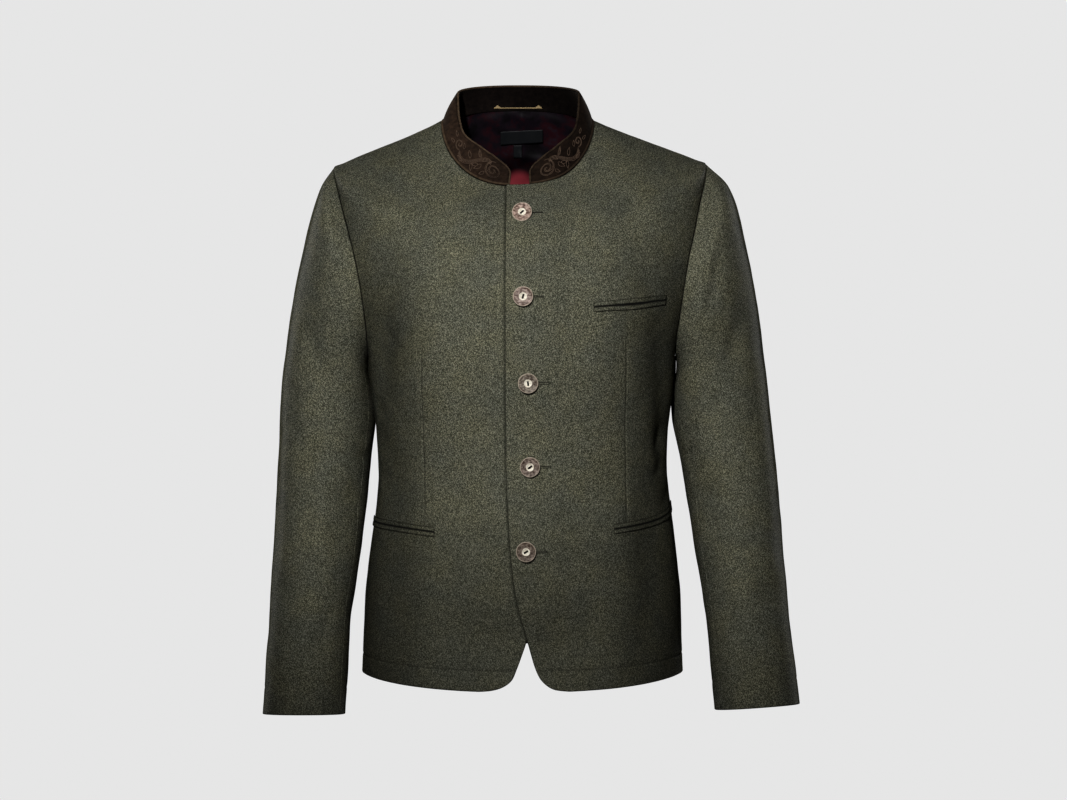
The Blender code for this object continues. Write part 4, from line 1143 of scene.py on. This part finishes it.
def scroll_lines():
    """A running scroll with leaves for one collar front, in metres along and up."""
    lines = [spiral(*row) for row in SPIRALS]
    lines += [bend(np.array(STEM) - (0.0, down)) for down in STEM_ROWS]
    lines += [leaf(*row) for row in LEAVES]
    return lines


def make_embroidery(name, end, material):
    """Raised thread on one front of the collar."""
    paths = []
    for line in scroll_lines():
        steps = np.linalg.norm(np.diff(line, axis=0), axis=1)
        far = np.concatenate([[0.0], np.cumsum(steps)])
        at = np.linspace(0.0, far[-1], max(int(far[-1] / 0.00045), 6))
        along = np.interp(at, far, line[:, 0])
        up = np.interp(at, far, line[:, 1])
        around = end + math.copysign(1.0, end) * along
        room = collar_rise(around, end) - EMBROIDERY_MARGIN
        rise = np.minimum(up * room / EMBROIDERY_ROOM, room)
        points, normals = collar_frame(around, rise)
        paths.append(points + normals * EMBROIDERY_LIFT)
    mesh = tube_mesh(name, paths, EMBROIDERY_RADIUS, wave=0.25)
    add_piece(name, mesh, (material,))


def seat_of(x, z):
    """Point, outward direction and girth where a button sits on the left front."""
    v = heights_at(np.array([0.0]), [z])[0]
    around = girth_at_x(v, x)
    v = heights_at(np.array([around]), [z])[0]
    point, outward, relief = spot(v, around)
    return point + outward * (float(lap_lift(v, around)) + relief), outward, around, v


def pick_faces(mesh, chosen):
    """Select the faces of a mesh in edit mode that a test picks out."""
    edit = bmesh.from_edit_mesh(mesh)
    for face in edit.faces:
        face.select_set(bool(chosen(face)))
    edit.select_flush_mode()
    bmesh.update_edit_mesh(mesh)


def model_button():
    """A horn button at the origin: a cylinder, its top stepped inwards ring by ring."""
    bpy.ops.object.select_all(action="DESELECT")
    bpy.ops.mesh.primitive_cylinder_add(
        vertices=BUTTON_STEPS, radius=BUTTON_RADIUS, depth=BUTTON_THICK, end_fill_type="NGON",
        location=(0.0, 0.0, 0.5 * BUTTON_THICK),
    )
    button = bpy.context.object
    bpy.ops.object.transform_apply(location=True)
    bpy.ops.object.mode_set(mode="EDIT")
    bpy.ops.mesh.select_mode(type="EDGE")
    bpy.ops.mesh.select_all(action="DESELECT")
    edit = bmesh.from_edit_mesh(button.data)
    for edge in edit.edges:
        edge.select_set(abs(edge.verts[0].co.z - edge.verts[1].co.z) < 0.25 * BUTTON_THICK)
    bmesh.update_edit_mesh(button.data)
    bpy.ops.mesh.bevel(offset=BUTTON_BEVEL, segments=3, affect="EDGES")
    bpy.ops.mesh.select_mode(type="FACE")
    pick_faces(button.data, lambda face: face.normal.z > 0.99 and len(face.verts) > 8)
    for width, drop in BUTTON_RINGS:
        bpy.ops.mesh.inset(thickness=width, depth=-drop)
    pick_faces(button.data, lambda face: face.normal.z < -0.99 and len(face.verts) > 8)
    bpy.ops.mesh.inset(thickness=0.25 * BUTTON_RADIUS, depth=0.0)
    bpy.ops.object.mode_set(mode="OBJECT")
    smooth = button.modifiers.new("rounding", "SUBSURF")
    smooth.levels = smooth.render_levels = 1
    bpy.ops.object.modifier_apply(modifier=smooth.name)
    bpy.ops.object.shade_smooth()
    return button


def make_button(model, number, x, z, slit_turn, material, thread):
    """A copy of the button in its place, uneven as horn is, with dark thread in its two holes."""
    seat, facing, _, _ = seat_of(x, z)
    facing = unit(facing + BUTTON_HANG * np.array([0.0, -1.0, 0.0]))
    name = f"button_{number}_horn"
    mesh = model.data.copy()
    mesh.name = name
    flat = np.empty(3 * len(mesh.vertices))
    mesh.vertices.foreach_get("co", flat)
    flat = flat.reshape(-1, 3)
    draw = np.random.default_rng(100 + number)
    wobble = draw.uniform(0.0, 2.0 * math.pi, size=3)
    radius = np.hypot(flat[:, 0], flat[:, 1])
    angle = np.arctan2(flat[:, 1], flat[:, 0])
    add_values(mesh, "ring", radius / BUTTON_RADIUS)
    add_values(mesh, "grain_x", flat[:, 0])
    add_values(mesh, "grain_y", flat[:, 1])
    outer = ease((radius / BUTTON_RADIUS - 0.75) / 0.2)
    waves = HORN_OVAL * np.sin(2.0 * angle + wobble[0])
    waves += HORN_WAVES * np.sin(5.0 * angle + wobble[1])
    bulk = 1.0 + outer * waves
    moved = flat * np.stack([bulk, bulk, np.ones(len(flat))], axis=-1)
    on_top = flat[:, 2] > 0.5 * BUTTON_THICK
    moved[:, 2] += HORN_WARP * np.sin(3.0 * angle + wobble[2]) * outer * on_top
    mesh.vertices.foreach_set("co", moved.ravel())
    turn = Vector((0.0, 0.0, 1.0)).rotation_difference(Vector(facing)).to_matrix().to_4x4()
    place = Matrix.Translation(Vector(seat + facing * BUTTON_LIFT)) @ turn
    mesh.transform(place)
    mesh.update()
    add_piece(name, mesh, (material,), (f"button_{number}",))

    cos, sin = math.cos(math.radians(slit_turn)), math.sin(math.radians(slit_turn))
    line = np.linspace(-1.0, 1.0, 15)
    high = BUTTON_FLOOR + BUTTON_THREAD_ARCH * (1.0 - line ** 4)
    paths = []
    for offset in (-BUTTON_THREAD_APART, BUTTON_THREAD_APART):
        x_flat = BUTTON_STITCH * line * cos - offset * sin
        y_flat = BUTTON_STITCH * line * sin + offset * cos
        stitch = np.stack([x_flat, y_flat, high], axis=-1)
        paths.append([np.array(place @ Vector(point)) for point in stitch])
    name = f"button_{number}_thread"
    mesh = tube_mesh(name, paths, BUTTON_THREAD, wave=0.10, wave_length=0.0007)
    add_piece(name, mesh, (thread,))


def make_buttonhole(number, x, z, thread):
    """The worked buttonhole that runs out from under a button."""
    _, _, around, v = seat_of(x, z)
    line = np.linspace(BUTTONHOLE_START, BUTTONHOLE_END, 60)
    reach = np.concatenate([line, line[::-1]])
    round_end = np.clip((BUTTONHOLE_END - np.abs(reach)) / BUTTONHOLE_ROUND, 0.0, 1.0)
    rise = np.repeat([BUTTONHOLE_HALF, -BUTTONHOLE_HALF], len(line)) * np.sqrt(round_end)
    path = []
    for row, girth in zip(v + rise, around + reach):
        point, outward, relief = spot(float(row), girth)
        lift = float(lap_lift(float(row), girth)) + relief + BUTTONHOLE_LIFT
        path.append(point + outward * lift)
    name = f"buttonhole_{number}_stitches"
    mesh = tube_mesh(name, [path], BUTTONHOLE_THREAD, wave=0.30, wave_length=0.0011)
    add_piece(name, mesh, (thread,))


def pocket_line(pocket, count):
    """Girths and heights along a pocket's mouth, and how far its lower lip sags."""
    along = np.linspace(0.0, 1.0, count)
    arch = np.sin(math.pi * along)
    girths = pocket["start"] + (pocket["end"] - pocket["start"]) * along
    heights = pocket["z_start"] + (pocket["z_end"] - pocket["z_start"]) * along
    return girths, heights + pocket["rise"] * arch, MOUTH_SAG[pocket["name"]] * arch ** 4


def pocket_grid(girth_line, z_rows):
    """Points, outward directions, girths and places up the body for cloth along a pocket."""
    ups = [heights_at(girth_line, z_row) for z_row in z_rows]
    grids = [spots(row, girth_line) for row in ups]
    points, normals = (np.array([grid[k] for grid in grids]) for k in (0, 1))
    return points, normals, np.array([girth_line] * len(ups)), np.array(ups)


def make_pocket(pocket, wool):
    """The two jets of a pocket, one above and one below its mouth."""
    half, jet = 0.5 * JET_MOUTH, pocket["jet"]
    length = abs(pocket["end"] - pocket["start"])
    girth_line, z_line, sag = pocket_line(pocket, int(length / JET_STEP))
    for part, low, hang in (("upper", half, 0.0), ("lower", -half - jet, sag)):
        name = f"{pocket['name']}_jet_{part}"
        shifts = between(low, low + jet, 0.0010, close=(0.0003, 0.0008))
        rows = [z_line + shift - hang for shift in shifts]
        points, normals, girths, ups = pocket_grid(girth_line, rows)
        lift = body_relief(points, girths) + JET_LIFT + JET_THICK
        uv = np.stack([girths, ups], axis=-1)
        piece = shell(
            name + "_cloth", points, normals, lift, JET_THICK, uv, (wool,), (name,),
        )


def make_mouth(pocket, dark):
    """A dark strip between the two jets: painted shadow in the pocket's mouth."""
    girth_line, z_line, sag = pocket_line(pocket, 40)
    rows = [z_line + MOUTH_HALF * (1.0 - 2.0 * share) - share * sag for share in MOUTH_ROWS]
    points, normals, girths, _ = pocket_grid(girth_line, rows)
    lift = body_relief(points, girths) + JET_LIFT + 0.5 * JET_THICK
    uv = np.stack([girths, points[..., 2]], axis=-1)
    piece = shell(
        f"{pocket['name']}_mouth", points, normals, lift, MOUTH_THICK, uv, (dark,),
    )


def make_neck_lining(name, satin, replaces):
    """The satin inside the back of the neck, with a few soft wrinkles."""
    outside = WOOL + LINING_CLEARANCE
    low = float(BODY_KNOTS[TIP - 1])
    heights = between(low, V_NECK - NECK_DROP, 0.0026, close=(0.0006, 0.0015))
    share = np.linspace(0.0, 1.0, 70)
    girths = []
    for v in heights:
        start = outer_girth(v, back=True) + 0.5 * SEAM_GAP + LINING_INSET
        around = start + (half_girth(v) - start) * share
        girths.append(np.concatenate([around, -around[-2::-1]]))
    girths = np.array(girths)
    points, normals = body_grid([float(v) for v in heights], girths)
    lift = body_relief(points, girths) - outside
    inside = ease(edge_distance(points) / SATIN_FLAT_EDGE)
    x, z = points[..., 0], points[..., 2]
    wrinkle = np.sin(150.0 * x + 4.0 * np.sin(52.0 * z))
    wrinkle += np.sin(95.0 * z - 60.0 * x + 3.0 * np.sin(38.0 * x))
    lift -= inside * SATIN_WRINKLE * (0.5 + 0.25 * wrinkle)
    lift -= inside * groove(x - SATIN_PLEAT_X, SATIN_PLEAT, SATIN_PLEAT_WIDTH)
    uv = np.stack([girths, np.array(heights)[:, None] + 0.0 * girths], axis=-1)
    piece = shell(name, points, normals, lift, SATIN, uv, (satin,), replaces)


def make_tape(tape, depth, material):
    """A small woven tape sewn inside the back of the neck, left bare."""
    x_line = between(tape["x_left"], tape["x_right"], TAPE_STEP, close=(0.0003,))
    z_line = between(tape["z_low"], tape["z_top"], TAPE_STEP, close=(0.0003,))
    points, normals, girths = [], [], []
    for z in z_line:
        slope = z + math.tan(math.radians(tape["tilt"])) * x_line
        rows = heights_at(np.full(len(x_line), half_girth(V_NECK)), slope)
        row_girths = []
        for v, x in zip(rows, x_line):
            offset = x - body_ring(v)["x_mid"]
            row_girths.append(math.copysign(half_girth(v) - abs(offset), offset))
        line, facing = spots(rows, row_girths)
        points.append(line)
        normals.append(facing)
        girths.append(row_girths)
    points, normals, girths = np.array(points), np.array(normals), np.array(girths)
    lift = body_relief(points, girths) - depth - SATIN_WRINKLE - SATIN_PLEAT
    lift += 0.0002 * np.sin(points[..., 0] * 300.0)
    uv = points[..., [0, 2]]
    piece = shell(
        tape["name"] + "_tape", points, normals, lift, TAPE_THICK, uv, (material,),
        (tape["name"],),
    )


def make_loop(name, material, replaces):
    """The hanger loop: a narrow folded ribbon across the inside of the collar's back."""
    whole = half_girth(V_NECK)
    depth = SUEDE + SEAM_GAP + COLLAR_LINING + LOOP_CLEARANCE
    share = np.linspace(-1.0, 1.0, 61)
    across = np.linspace(-1.0, 1.0, 9)
    offset = 0.5 * LOOP_SPAN * share
    girth = np.where(offset >= 0.0, whole - np.abs(offset), np.abs(offset) - whole)
    pointed = np.clip((np.abs(share) - LOOP_POINT_START) / LOOP_POINT, 0.0, 1.0)
    pointed *= np.clip((1.0 - np.abs(share)) / LOOP_POINT, 0.04, 1.0)
    wide = LOOP_NARROW + LOOP_WIDEN * pointed
    rise = LOOP_LOW + LOOP_END * pointed + LOOP_BOW * share ** 2
    rises = rise[None, :] + wide[None, :] * across[:, None]
    girths = np.repeat(girth[None, :], len(across), axis=0)
    points, normals = collar_frame(girths, rises)
    lift = -depth - LOOP_ARCH * (1.0 - share ** 6)[None, :] + 0.0 * rises
    uv = np.stack([girths, rises], axis=-1)
    piece = shell(name, points, normals, lift, LOOP_THICK, uv, (material,), replaces)


def node(tree, kind, settings=None, **inputs):
    """Add a shader node. Inputs that are sockets are linked, others are set."""
    made = tree.nodes.new(kind)
    for key, value in (settings or {}).items():
        setattr(made, key, value)
    for key, value in inputs.items():
        socket = made.inputs[int(key[1:])] if key[0] == "_" else made.inputs[key.replace("_", " ")]
        if isinstance(value, bpy.types.NodeSocket):
            tree.links.new(value, socket)
        else:
            socket.default_value = value
    return made


def ramp(tree, factor, stops):
    """Colours by a factor: stops are (place, colour)."""
    made = node(tree, "ShaderNodeValToRGB", Fac=factor)
    points = made.color_ramp.elements
    while len(points) < len(stops):
        points.new(0.5)
    for point, (place, colour) in zip(points, stops):
        point.position = place
        point.color = (*colour, 1.0)
    return made.outputs["Color"]


def mix(tree, factor, first, second, how="MIX"):
    """Mix two colours."""
    settings = {"data_type": "RGBA", "blend_type": how}
    return node(tree, "ShaderNodeMix", settings, _0=factor, _6=first, _7=second).outputs[2]


def grey(value):
    """A grey colour."""
    return (value, value, value, 1.0)


def maths(tree, operation, *values):
    """The result of one sum on values."""
    inputs = {f"_{place}": value for place, value in enumerate(values)}
    return node(tree, "ShaderNodeMath", {"operation": operation}, **inputs).outputs[0]


def map_range(tree, value, marks, factors, way="LINEAR"):
    """A factor that goes from one value to another while a value passes between two marks."""
    return node(
        tree, "ShaderNodeMapRange", {"interpolation_type": way}, Value=value,
        From_Min=marks[0], From_Max=marks[1], To_Min=factors[0], To_Max=factors[1],
    ).outputs["Result"]


def attribute(tree, name):
    """A value that is stored with the mesh's points."""
    return node(tree, "ShaderNodeAttribute", {"attribute_name": name}).outputs["Fac"]


def start_material(name, roughness, sheen=0.0, sheen_tint=WHITE, specular=0.3):
    """A material with its surface shader, its tree and its object coordinates."""
    material = bpy.data.materials.new(name)
    material.use_nodes = True
    tree = material.node_tree
    shader = tree.nodes["Principled BSDF"]
    shader.inputs["Roughness"].default_value = roughness
    shader.inputs["Sheen Weight"].default_value = sheen
    shader.inputs["Sheen Roughness"].default_value = 0.5
    shader.inputs["Sheen Tint"].default_value = (*sheen_tint, 1.0)
    shader.inputs["Specular IOR Level"].default_value = specular
    place = node(tree, "ShaderNodeTexCoord").outputs["Object"]
    return material, tree, shader, place


def noise(tree, place, scale, detail=2.0, rough=0.5, stretch=(1.0, 1.0, 1.0)):
    """Noise of a given scale, stretched if asked."""
    if stretch != (1.0, 1.0, 1.0):
        place = node(tree, "ShaderNodeMapping", Vector=place, Scale=stretch).outputs["Vector"]
    return node(
        tree, "ShaderNodeTexNoise", Vector=place, Scale=scale, Detail=detail, Roughness=rough,
    ).outputs["Fac"]


def bump(tree, shader, height, distance, strength):
    """Fine relief from a height."""
    made = node(tree, "ShaderNodeBump", Height=height, Distance=distance, Strength=strength)
    tree.links.new(made.outputs["Normal"], shader.inputs["Normal"])


def edge_shade(tree, colour, reach, dark):
    """Painted shade: darken a colour towards the piece's sewn edges and sewn lines."""
    shade = map_range(tree, attribute(tree, "edge"), (0.0, reach), (dark, 1.0))
    return mix(tree, 1.0, colour, shade, "MULTIPLY")


def painted_shade_tone(tree, place):
    """Painted shade: how much darker the wool is made toward the front's sides and down the skirt.
    """
    split = node(tree, "ShaderNodeSeparateXYZ", Vector=place).outputs
    aside = maths(tree, "ABSOLUTE", split["X"])

    def soft(value, marks, factors):
        return map_range(tree, value, marks, factors, "SMOOTHSTEP")

    body = maths(
        tree, "MULTIPLY", soft(aside, PAINTED_SHADE_ASIDE_END, (1.0, 0.0)),
        soft(split["Y"], PAINTED_SHADE_FRONT_END, (1.0, 0.0)),
    )
    sides = maths(
        tree, "MULTIPLY", soft(aside, PAINTED_SHADE_SIDES, (0.0, SIDE_PAINTED_SHADE)),
        soft(split["Z"], PAINTED_SHADE_SIDES_FADE, (1.0, 0.3)),
    )
    skirt = soft(split["Z"], PAINTED_SHADE_SKIRT, (SKIRT_PAINTED_SHADE, 0.0))
    both = maths(tree, "MULTIPLY", maths(tree, "ADD", sides, skirt), body)
    return maths(tree, "SUBTRACT", 1.0, both)


def make_wool(name):
    """Milled melange wool: dark ground with pale flecks, barely bluer or browner in places, and
    painted shade.
    """
    material, tree, shader, place = start_material(name, 0.76, specular=WOOL_GLOSS)
    shader.inputs["Specular Tint"].default_value = (0.86, 0.87, 0.66, 1.0)
    facing = node(tree, "ShaderNodeLayerWeight", Blend=0.5).outputs["Facing"]
    gloss = map_range(tree, facing, WOOL_GLOSS_FADE, (WOOL_GLOSS, 0.0))
    tree.links.new(gloss, shader.inputs["Specular IOR Level"])
    slanted = node(tree, "ShaderNodeMapping", Vector=place, Rotation=(0.0, 0.45, 0.0))
    coarse = noise(
        tree, slanted.outputs["Vector"], 1.0, detail=1.0, rough=0.5,
        stretch=(1020.0, 1020.0, 640.0),
    )
    fine = noise(tree, place, 1650.0, detail=1.0, rough=0.5)
    height = maths(tree, "MULTIPLY", maths(tree, "MULTIPLY_ADD", fine, 0.8, coarse), 0.556)
    colour = ramp(tree, height, ((0.39, WOOL_DARK), (0.49, WOOL_MIDDLE), (0.61, WOOL_LIGHT)))
    drift = noise(tree, place, 22.0, detail=3.0, rough=0.6)
    tint = ramp(tree, drift, ((0.36, WOOL_BLUER), (0.50, WHITE), (0.64, WOOL_BROWNER)))
    colour = mix(tree, 1.0, colour, tint, "MULTIPLY")
    # Painted shade, deeper toward the front's sides and down the skirt.
    colour = mix(tree, 1.0, colour, painted_shade_tone(tree, place), "MULTIPLY")
    # Painted shade along sewn edges.
    colour = edge_shade(tree, colour, reach=0.0018, dark=0.12)
    tree.links.new(colour, shader.inputs["Base Color"])
    bump(tree, shader, height, distance=0.0006, strength=0.35)
    return material


def make_suede(name, dark, light):
    """Short brown nap, uneven in tone, paler towards the wearer's right, with painted shade at its
    edges.
    """
    material, tree, shader, place = start_material(
        name, 0.92, sheen=0.05, sheen_tint=(0.80, 0.66, 0.52), specular=0.04,
    )
    nap = noise(tree, place, 210.0, detail=4.0, rough=0.65)
    hairs = noise(tree, place, 1600.0, detail=2.0, rough=0.6)
    cloud = noise(tree, place, 42.0, detail=2.0, rough=0.5)
    tone = maths(tree, "MULTIPLY", maths(tree, "MULTIPLY_ADD", cloud, 0.6, nap), 0.625)
    colour = ramp(tree, tone, ((0.36, dark), (0.64, light)))
    sideways = node(tree, "ShaderNodeSeparateXYZ", Vector=place).outputs["X"]
    across_tone = map_range(tree, sideways, COLLAR_ACROSS_SPAN, COLLAR_ACROSS_TONE)
    colour = mix(tree, 1.0, colour, across_tone, "MULTIPLY")
    # Painted shade at the collar's edges.
    colour = edge_shade(tree, colour, reach=0.0022, dark=0.6)
    tree.links.new(colour, shader.inputs["Base Color"])
    bump(tree, shader, hairs, distance=0.0004, strength=0.6)
    return material


def make_satin(name):
    """Changeant lining satin: dark plum with red patches, partly its thread and partly painted
    sheen, and one painted red pool of light ringed by painted shadow.
    """
    material, tree, shader, place = start_material(name, 0.42, specular=0.40)
    shader.inputs["Anisotropic"].default_value = 0.4
    cloud = noise(tree, place, 30.0, detail=3.0, rough=0.6)
    # Patches of red and lilac grey: partly the satin's changeant thread, partly painted sheen.
    colour = ramp(tree, cloud, (
        (0.36, (0.004, 0.003, 0.004)), (0.48, (0.012, 0.007, 0.012)),
        (0.57, (0.030, 0.006, 0.010)), (0.66, (0.026, 0.017, 0.025)),
    ))
    # Painted shadow around one place on the lining, and a painted red pool of light in its middle.
    away = node(
        tree, "ShaderNodeVectorMath", {"operation": "DISTANCE"}, _0=place, _1=LINING_PAINTED_LIGHT_PLACE,
    ).outputs["Value"]
    shade = map_range(tree, away, (0.032, 0.054), (0.25, 1.0), "SMOOTHSTEP")
    colour = mix(tree, 1.0, colour, shade, "MULTIPLY")
    painted_light = map_range(tree, away, (0.012, 0.025), (1.0, 0.0), "SMOOTHSTEP")
    colour = mix(tree, painted_light, colour, LINING_PAINTED_LIGHT)
    tree.links.new(colour, shader.inputs["Base Color"])
    weave = noise(tree, place, 900.0, detail=1.0, rough=0.5, stretch=(1.0, 1.0, 0.15))
    bump(tree, shader, weave, distance=0.0002, strength=0.25)
    return material


def make_thread(name, colour, roughness=0.7):
    """Sewing or embroidery thread."""
    material, tree, shader, place = start_material(name, roughness, sheen=0.05, sheen_tint=colour)
    twist = noise(tree, place, 1400.0, detail=2.0, rough=0.5)
    darker = tuple(0.55 * c for c in colour)
    tree.links.new(ramp(tree, twist, ((0.35, darker), (0.62, colour))), shader.inputs["Base Color"])
    bump(tree, shader, twist, distance=0.0002, strength=0.5)
    return material


def make_tape_material(name):
    """Dark woven label tape with a fine rib."""
    material, tree, shader, place = start_material(name, 0.55, specular=0.4)
    rib = node(
        tree, "ShaderNodeTexWave", {"wave_type": "BANDS", "bands_direction": "Z"},
        Vector=place, Scale=420.0, Distortion=0.6, Detail=1.0,
    ).outputs["Fac"]
    colour = ramp(tree, rib, ((0.2, (0.004, 0.005, 0.006)), (0.8, (0.010, 0.012, 0.015))))
    # Painted shade at the tape's edges.
    colour = edge_shade(tree, colour, reach=0.0010, dark=0.5)
    tree.links.new(colour, shader.inputs["Base Color"])
    bump(tree, shader, rib, distance=0.0001, strength=0.4)
    return material


def make_horn(name, tone, seed):
    """Polished horn with clouds and streaks, a pale rim and a cream middle."""
    material, tree, shader, _ = start_material(name, 0.52, specular=0.28)
    ring, x, y = (attribute(tree, word) for word in ("ring", "grain_x", "grain_y"))
    flat = node(tree, "ShaderNodeCombineXYZ", X=x, Y=y, Z=seed * 0.037).outputs["Vector"]
    cloud = noise(tree, flat, 330.0, detail=3.0, rough=0.6)
    streak = noise(tree, flat, 700.0, detail=3.0, rough=0.7, stretch=(0.35, 1.3, 1.0))
    both = maths(tree, "MULTIPLY", maths(tree, "MULTIPLY_ADD", streak, 0.7, cloud), 0.588)
    pale = tuple(min(1.8 * c + 0.04, 1.0) for c in tone)
    deep = (tone[0] * 0.38, tone[1] * 0.27, tone[2] * 0.22)
    body = ramp(tree, both, ((0.42, deep), (0.50, tone), (0.58, pale)))
    rim = ramp(tree, ring, ((0.385, BLACK), (0.415, WHITE), (0.88, WHITE), (0.95, BLACK)))
    cream = ramp(tree, both, ((0.38, (0.68, 0.62, 0.50)), (0.58, (0.95, 0.90, 0.78))))
    lip = mix(tree, 0.80, body, (0.560, 0.480, 0.390, 1.0))
    inner = ramp(tree, ring, ((0.38, BLACK), (0.46, WHITE)))
    outside = mix(tree, inner, cream, lip)
    colour = mix(tree, rim, outside, body)
    tree.links.new(colour, shader.inputs["Base Color"])
    bump(tree, shader, both, distance=0.0002, strength=0.5)
    return material


def make_jacket():
    """Every piece of the jacket in its own cloth."""
    wool = make_wool("grey green wool")
    suede = make_suede("brown suede", (0.009, 0.006, 0.0045), (0.030, 0.019, 0.013))
    inner_suede = make_suede("dark collar lining", (0.003, 0.002, 0.002), (0.008, 0.0055, 0.0045))
    piping = make_suede("light brown piping", (0.050, 0.034, 0.022), (0.120, 0.085, 0.056))
    satin = make_satin("plum changeant satin")
    embroidery = make_thread("brown embroidery thread", (0.190, 0.130, 0.090))
    stitches = make_thread("dark green thread", (0.030, 0.029, 0.020))
    sewing = make_thread("dark button thread", (0.012, 0.008, 0.006), 0.9)
    gold = make_thread("gold ribbon", (0.42, 0.31, 0.15), 0.5)
    tape = make_tape_material("bare label tape")
    pocket_shadow = make_thread("painted pocket shadow", (0.008, 0.008, 0.006), 0.95)

    for word, side in (("left", 1.0), ("right", -1.0)):
        make_front(f"{word}_front_cloth", side, (f"front_{word}",), wool, satin)
        make_back(f"{word}_back_cloth", side, (f"back_{word}",), wool, satin)
        for part, seams in (
            ("top_sleeve", (BACK_SLEEVE_SEAM, FRONT_SLEEVE_SEAM)),
            ("under_sleeve", (FRONT_SLEEVE_SEAM, 360.0 + BACK_SLEEVE_SEAM)),
        ):
            make_sleeve(
                f"{word}_{part}_cloth", side, seams, (f"{part}_{word}",), wool, satin,
            )
    make_collar("collar_suede", 0.0, SUEDE, 0.0, suede, ("collar",))
    make_collar(
        "collar_inside", WOOL + 0.5 * SEAM_GAP, COLLAR_LINING, -SEAM_TUCK, inner_suede,
        ("collar_inner",),
    )
    make_piping("collar_edge_piping", piping, ("collar_piping",))
    for word, end in zip(("right", "left"), collar_ends()):
        make_embroidery(f"collar_{word}_embroidery", end, embroidery)
    make_neck_lining("neck_lining_satin", satin, ("back_neck_lining",))
    depth = WOOL + LINING_CLEARANCE + SATIN + LINING_CLEARANCE
    for row in TAPES:
        make_tape(dict(zip(TAPE_COLUMNS, row)), depth, tape)
    make_loop("hanger_ribbon", gold, ("hanger_loop",))
    for row in POCKETS:
        pocket = dict(zip(POCKET_COLUMNS, row))
        make_pocket(pocket, wool)
        make_mouth(pocket, pocket_shadow)
    model = model_button()
    for number, row in enumerate(BUTTONS, start=1):
        button = dict(zip(BUTTON_COLUMNS, row))
        horn = make_horn(f"horn {number}", button["tone"], number)
        make_button(model, number, button["x"], button["z"], button["slit_turn"], horn, sewing)
        make_buttonhole(number, button["x"], button["z"], stitches)
    bpy.data.objects.remove(model)


def make_stage():
    """A pale floor that bends up into a backdrop, lit evenly from within."""
    angle = np.linspace(0.0, math.pi / 2.0, 13)
    bend_y = BACKDROP - STAGE_BEND + STAGE_BEND * np.sin(angle)
    bend_z = FLOOR + STAGE_BEND - STAGE_BEND * np.cos(angle)
    line = [(STAGE_FRONT, FLOOR)] + list(zip(bend_y, bend_z)) + [(BACKDROP, BACKDROP_TOP)]
    verts = [(side * STAGE_HALF, y, z) for y, z in line for side in (-1.0, 1.0)]
    faces = [(2 * k, 2 * k + 1, 2 * k + 3, 2 * k + 2) for k in range(len(line) - 1)]
    mesh = bpy.data.meshes.new("studio sweep")
    mesh.from_pydata(verts, [], faces)
    mesh.shade_smooth()
    material, _, shader, _ = start_material("pale sweep", 1.0, specular=0.0)
    shader.inputs["Base Color"].default_value = grey(0.0)
    shader.inputs["Emission Color"].default_value = grey(1.0)
    shader.inputs["Emission Strength"].default_value = BACKDROP_GLOW
    mesh.materials.append(material)
    sweep = bpy.data.objects.new("studio_sweep", mesh)
    bpy.context.scene.collection.objects.link(sweep)
    sweep.visible_diffuse = False
    sweep.visible_glossy = False


def add_light(name, kind, place, aim, power):
    """A light that looks at a place. Its size is set by what calls this."""
    data = bpy.data.lights.new(name, kind)
    data.energy = power
    light = bpy.data.objects.new(name, data)
    light.location = place
    light.rotation_euler = (Vector(aim) - Vector(place)).to_track_quat("-Z", "Y").to_euler()
    bpy.context.scene.collection.objects.link(light)
    return data


def add_panel(name, place, aim, size, power):
    """A soft square light."""
    data = add_light(name, "AREA", place, aim, power)
    data.shape = "RECTANGLE"
    data.size, data.size_y = size


def make_light():
    """Plain soft studio light, mostly from the front and a little from above."""
    key = add_light("key light", "SPOT", KEY_PLACE, KEY_AIM, KEY_POWER)
    key.shadow_soft_size = KEY_SOFTNESS
    key.spot_size = 2.0 * math.atan(KEY_REACH / (Vector(KEY_AIM) - Vector(KEY_PLACE)).length)
    key.spot_blend = 1.0
    add_panel("front fill", FILL_PLACE, FILL_AIM, FILL_SIZE, FILL_POWER)
    for side in (-1.0, 1.0):
        place, aim = ((side * p[0], *p[1:]) for p in (BACK_LIGHT_PLACE, BACK_LIGHT_AIM))
        add_panel(f"back light {side:.0f}", place, aim, BACK_LIGHT_SIZE, BACK_LIGHT_POWER)
    world = bpy.data.worlds.new("studio")
    world.use_nodes = True
    tree = world.node_tree
    seen = node(tree, "ShaderNodeLightPath").outputs["Is Camera Ray"]
    strength = map_range(tree, seen, (0.0, 1.0), (WORLD_FILL, BACKDROP_GLOW))
    tree.links.new(strength, tree.nodes["Background"].inputs["Strength"])
    tree.nodes["Background"].inputs["Color"].default_value = grey(1.0)
    bpy.context.scene.world = world
    bpy.context.scene.view_settings.view_transform = "Standard"
    bpy.context.scene.view_settings.gamma = VIEW_GAMMA


def make_camera():
    """The photograph's camera: level, straight in front."""
    data = bpy.data.cameras.new("photo camera")
    data.sensor_width = SENSOR
    data.lens = SENSOR * -CAMERA_PLACE[1] / (FRAME_PIXELS * METRES_PER_PIXEL)
    camera = bpy.data.objects.new("photo camera", data)
    camera.location = CAMERA_PLACE
    camera.rotation_euler = (math.pi / 2.0, 0.0, 0.0)
    bpy.context.scene.collection.objects.link(camera)
    bpy.context.scene.camera = camera


make_camera()
make_jacket()
make_stage()
make_light()
